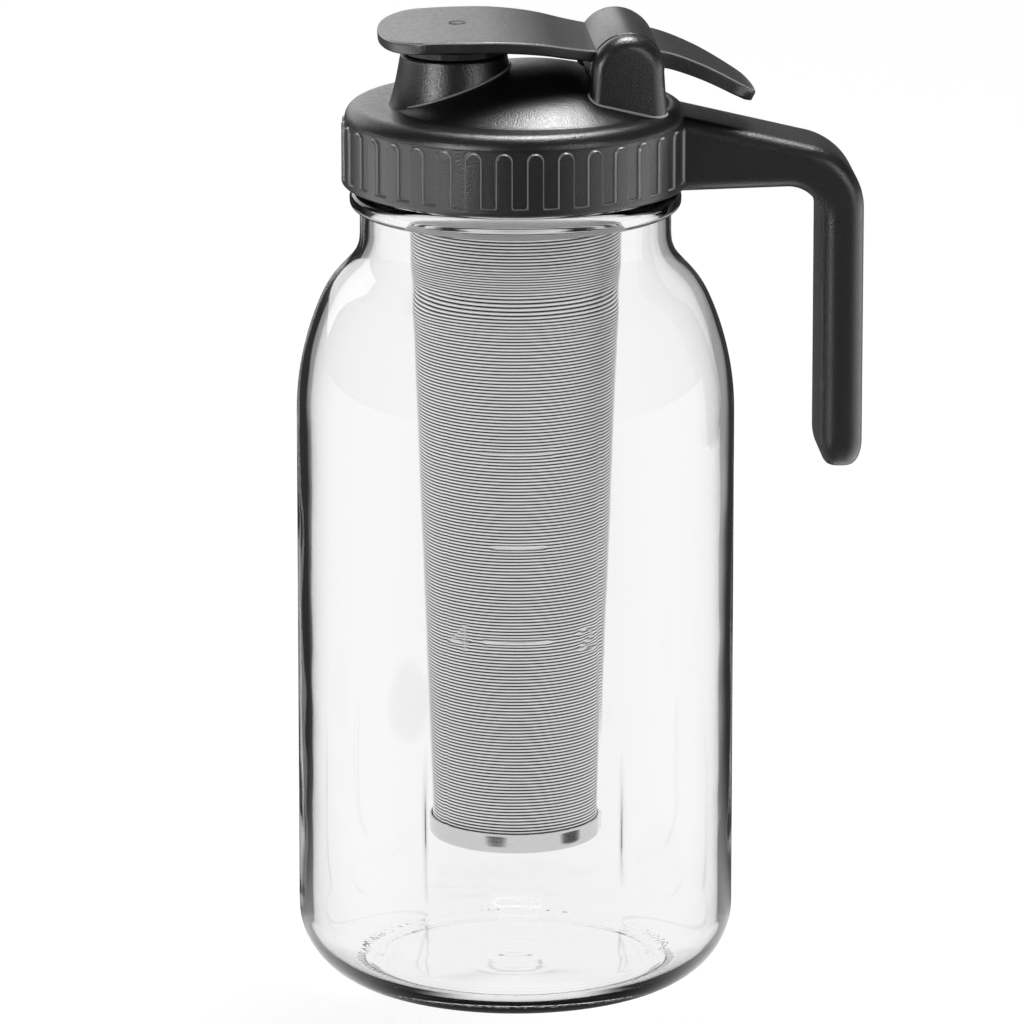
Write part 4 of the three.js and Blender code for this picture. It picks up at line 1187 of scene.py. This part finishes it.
def seen_through(tree, place, path):
    """How much white a ray sees behind the glass, where place is a vector socket, in metres.

    A ray through the hollow jar passes four surfaces and sees white. One that is caught in the wall
    passes two: it sees a light middle, |x| < 0.04 m + min(0.36 y, 0.07 m), dark on both sides of it,
    and grey far out, where |x| > 0.1 m + 0.36 y.
    """
    axes = add(tree, "SeparateXYZ", {0: place}).outputs
    aside = maths(tree, "ABSOLUTE", axes["X"])
    back = maths(tree, "MULTIPLY", axes["Y"], 0.36)
    past = maths(tree, "SUBTRACT", aside, maths(tree, "MINIMUM", back, 0.07))
    edge = ramp(tree, past, 0.03, 0.045, kind="SMOOTHSTEP")
    far = ramp(tree, maths(tree, "SUBTRACT", aside, back), 0.1, 0.22, 0.98, 0.6, "SMOOTHSTEP")
    light = maths(tree, "SUBTRACT", 1.0, maths(tree, "MULTIPLY", edge, far))
    return maths(tree, "MAXIMUM", light, maths(tree, "GREATER_THAN", path["Transmission Depth"], 2.5))


def studio_floor():
    """Pale floor that looks white to the eye and through glass, and still takes a soft shadow.

    In reflections it is bright at the sides and falls off in front and behind. Sharp ones in the
    glass show less of it than the dull ones of the moulded plastic.
    """
    material, tree, place = new_material("white_studio_floor")
    path = add(tree, "LightPath").outputs
    paint = add(tree, "BsdfDiffuse", {"Color": sizes("finish").floor}).outputs[0]
    lit = either(tree, 0.8, paint, white(tree, 1.08))
    flat = add(tree, "VectorMath", {0: place}, operation="NORMALIZE").outputs[0]
    y = add(tree, "SeparateXYZ", {0: flat}).outputs["Y"]
    fall = ramp(tree, y, -0.9, -0.2, 0.3, 3.0, "SMOOTHSTEP")
    rear = ramp(tree, y, 0.35, 0.75, 1.0, 0.05, "SMOOTHSTEP")
    shown = maths(tree, "MULTIPLY", maths(tree, "MULTIPLY", fall, rear),
                  ramp(tree, path["Is Singular Ray"], 0, 1, 1.0, 0.35))
    plain = either(tree, path["Is Glossy Ray"], lit, white(tree, shown))
    behind = white(tree, seen_through(tree, place, path))
    add(tree, "OutputMaterial", {"Surface": either(tree, path["Is Transmission Ray"], plain, behind)})
    return material


def studio_world():
    """White to the camera and through glass, dim in reflections, soft light for the rest.

    Dull reflections also show the softboxes, and sharp ones in the glass don't.
    """
    world = bpy.data.worlds.new("studio_white")
    tree = empty_tree(world)
    path = add(tree, "LightPath").outputs
    view = add(tree, "TexCoord").outputs["Generated"]
    dim_sky, soft_sky = 0.12, 0.3
    boxes = []
    for aim, strength in SOFTBOXES:
        along = add(tree, "VectorMath", {0: view, 1: aim}, operation="DOT_PRODUCT").outputs["Value"]
        boxes.append(ramp(tree, along, *SOFTBOX_EDGE, high=strength, kind="SMOOTHSTEP"))
    shown = maths(tree, "ADD", maths(tree, "ADD", *boxes[:2]), boxes[2])
    dull = maths(tree, "SUBTRACT", 1.0, path["Is Singular Ray"])
    dim = white(tree, maths(tree, "MULTIPLY_ADD", shown, dull, dim_sky), "Background")
    behind = white(tree, ramp(tree, path["Transmission Depth"], 2.0, 3.0, 0.5), "Background")
    glossy = either(tree, path["Is Glossy Ray"], white(tree, soft_sky, "Background"), dim)
    through = either(tree, path["Is Transmission Ray"], glossy, behind)
    add(tree, "OutputWorld",
        {"Surface": either(tree, path["Is Camera Ray"], through, white(tree, 1.0, "Background"))})
    return world


def studio_camera():
    """Long lens at the photograph's angle."""
    camera = bpy.data.cameras.new("camera")
    camera.lens = FOCAL_PIXELS / PICTURE_WIDTH * SENSOR
    camera.sensor_width = SENSOR
    camera.clip_end = 50
    holder = put("camera", camera)
    level = math.cos(CAMERA_PITCH)
    back = Vector((math.sin(CAMERA_AZIMUTH) * level, -math.cos(CAMERA_AZIMUTH) * level,
                   math.sin(CAMERA_PITCH)))
    holder.location = CAMERA_TARGET + CAMERA_DISTANCE * back
    holder.rotation_euler = (math.pi / 2 - CAMERA_PITCH, 0, CAMERA_AZIMUTH)
    return holder


class BREW_OT_stage(bpy.types.Operator):
    """Sets up the camera, the lamps, the floor and the black cards"""
    bl_idname = "brew.stage"
    bl_label = "Studio"

    def execute(self, context):
        scene = context.scene
        scene.view_settings.view_transform = "Standard"
        flat_panel("studio_floor", (0, 0, -0.0004), (9, 0, 0), (0, 9, 0), studio_floor())
        black_card("card_left", (-0.095, -0.175, 0.0006), (0.07, -0.03, 0), (0.03, 0.04, 0))
        black_card("card_right", (0.17, -0.06, 0.0006), (0.02, 0.05, 0), (0.045, -0.02, 0))
        area_light("overhead", (0.18, 0.2, 1.3), (0, 0, 0.25), 0.42, 0.42, 12)
        area_light("backdrop_glow", (-0.85, 2.2, 1.0), (0, 0, 0.25), 2.4, 1.4, 18)
        scene.world = studio_world()
        scene.camera = studio_camera()
        return {"FINISHED"}


class BREW_PT_panel(bpy.types.Panel):
    """Lists the steps that make the coffee maker"""
    bl_idname = "BREW_PT_panel"
    bl_label = "Cold brew coffee maker"
    bl_space_type = "VIEW_3D"
    bl_region_type = "UI"
    bl_category = "Cold brew"

    def draw(self, context):
        for operator in OPERATORS:
            self.layout.operator(operator.bl_idname)


OPERATORS = (BREW_OT_jar, BREW_OT_filter, BREW_OT_lid, BREW_OT_lever, BREW_OT_handle, BREW_OT_stage)


def register():
    """Registers the classes and puts the size groups on the scene."""
    for name, group in GROUPS.items():
        bpy.utils.register_class(group)
        setattr(bpy.types.Scene, "brew_" + name, bpy.props.PointerProperty(type=group))
    for cls in OPERATORS + (BREW_PT_panel,):
        bpy.utils.register_class(cls)


def unregister():
    """Takes the classes and the size groups away again."""
    for cls in (BREW_PT_panel,) + OPERATORS[::-1]:
        bpy.utils.unregister_class(cls)
    for name, group in GROUPS.items():
        delattr(bpy.types.Scene, "brew_" + name)
        bpy.utils.unregister_class(group)


def main():
    """Builds everything in order."""
    register()
    for step in ("stage", "jar", "filter", "lid", "lever", "handle"):
        getattr(bpy.ops.brew, step)()


if __name__ == "__main__":
    main()
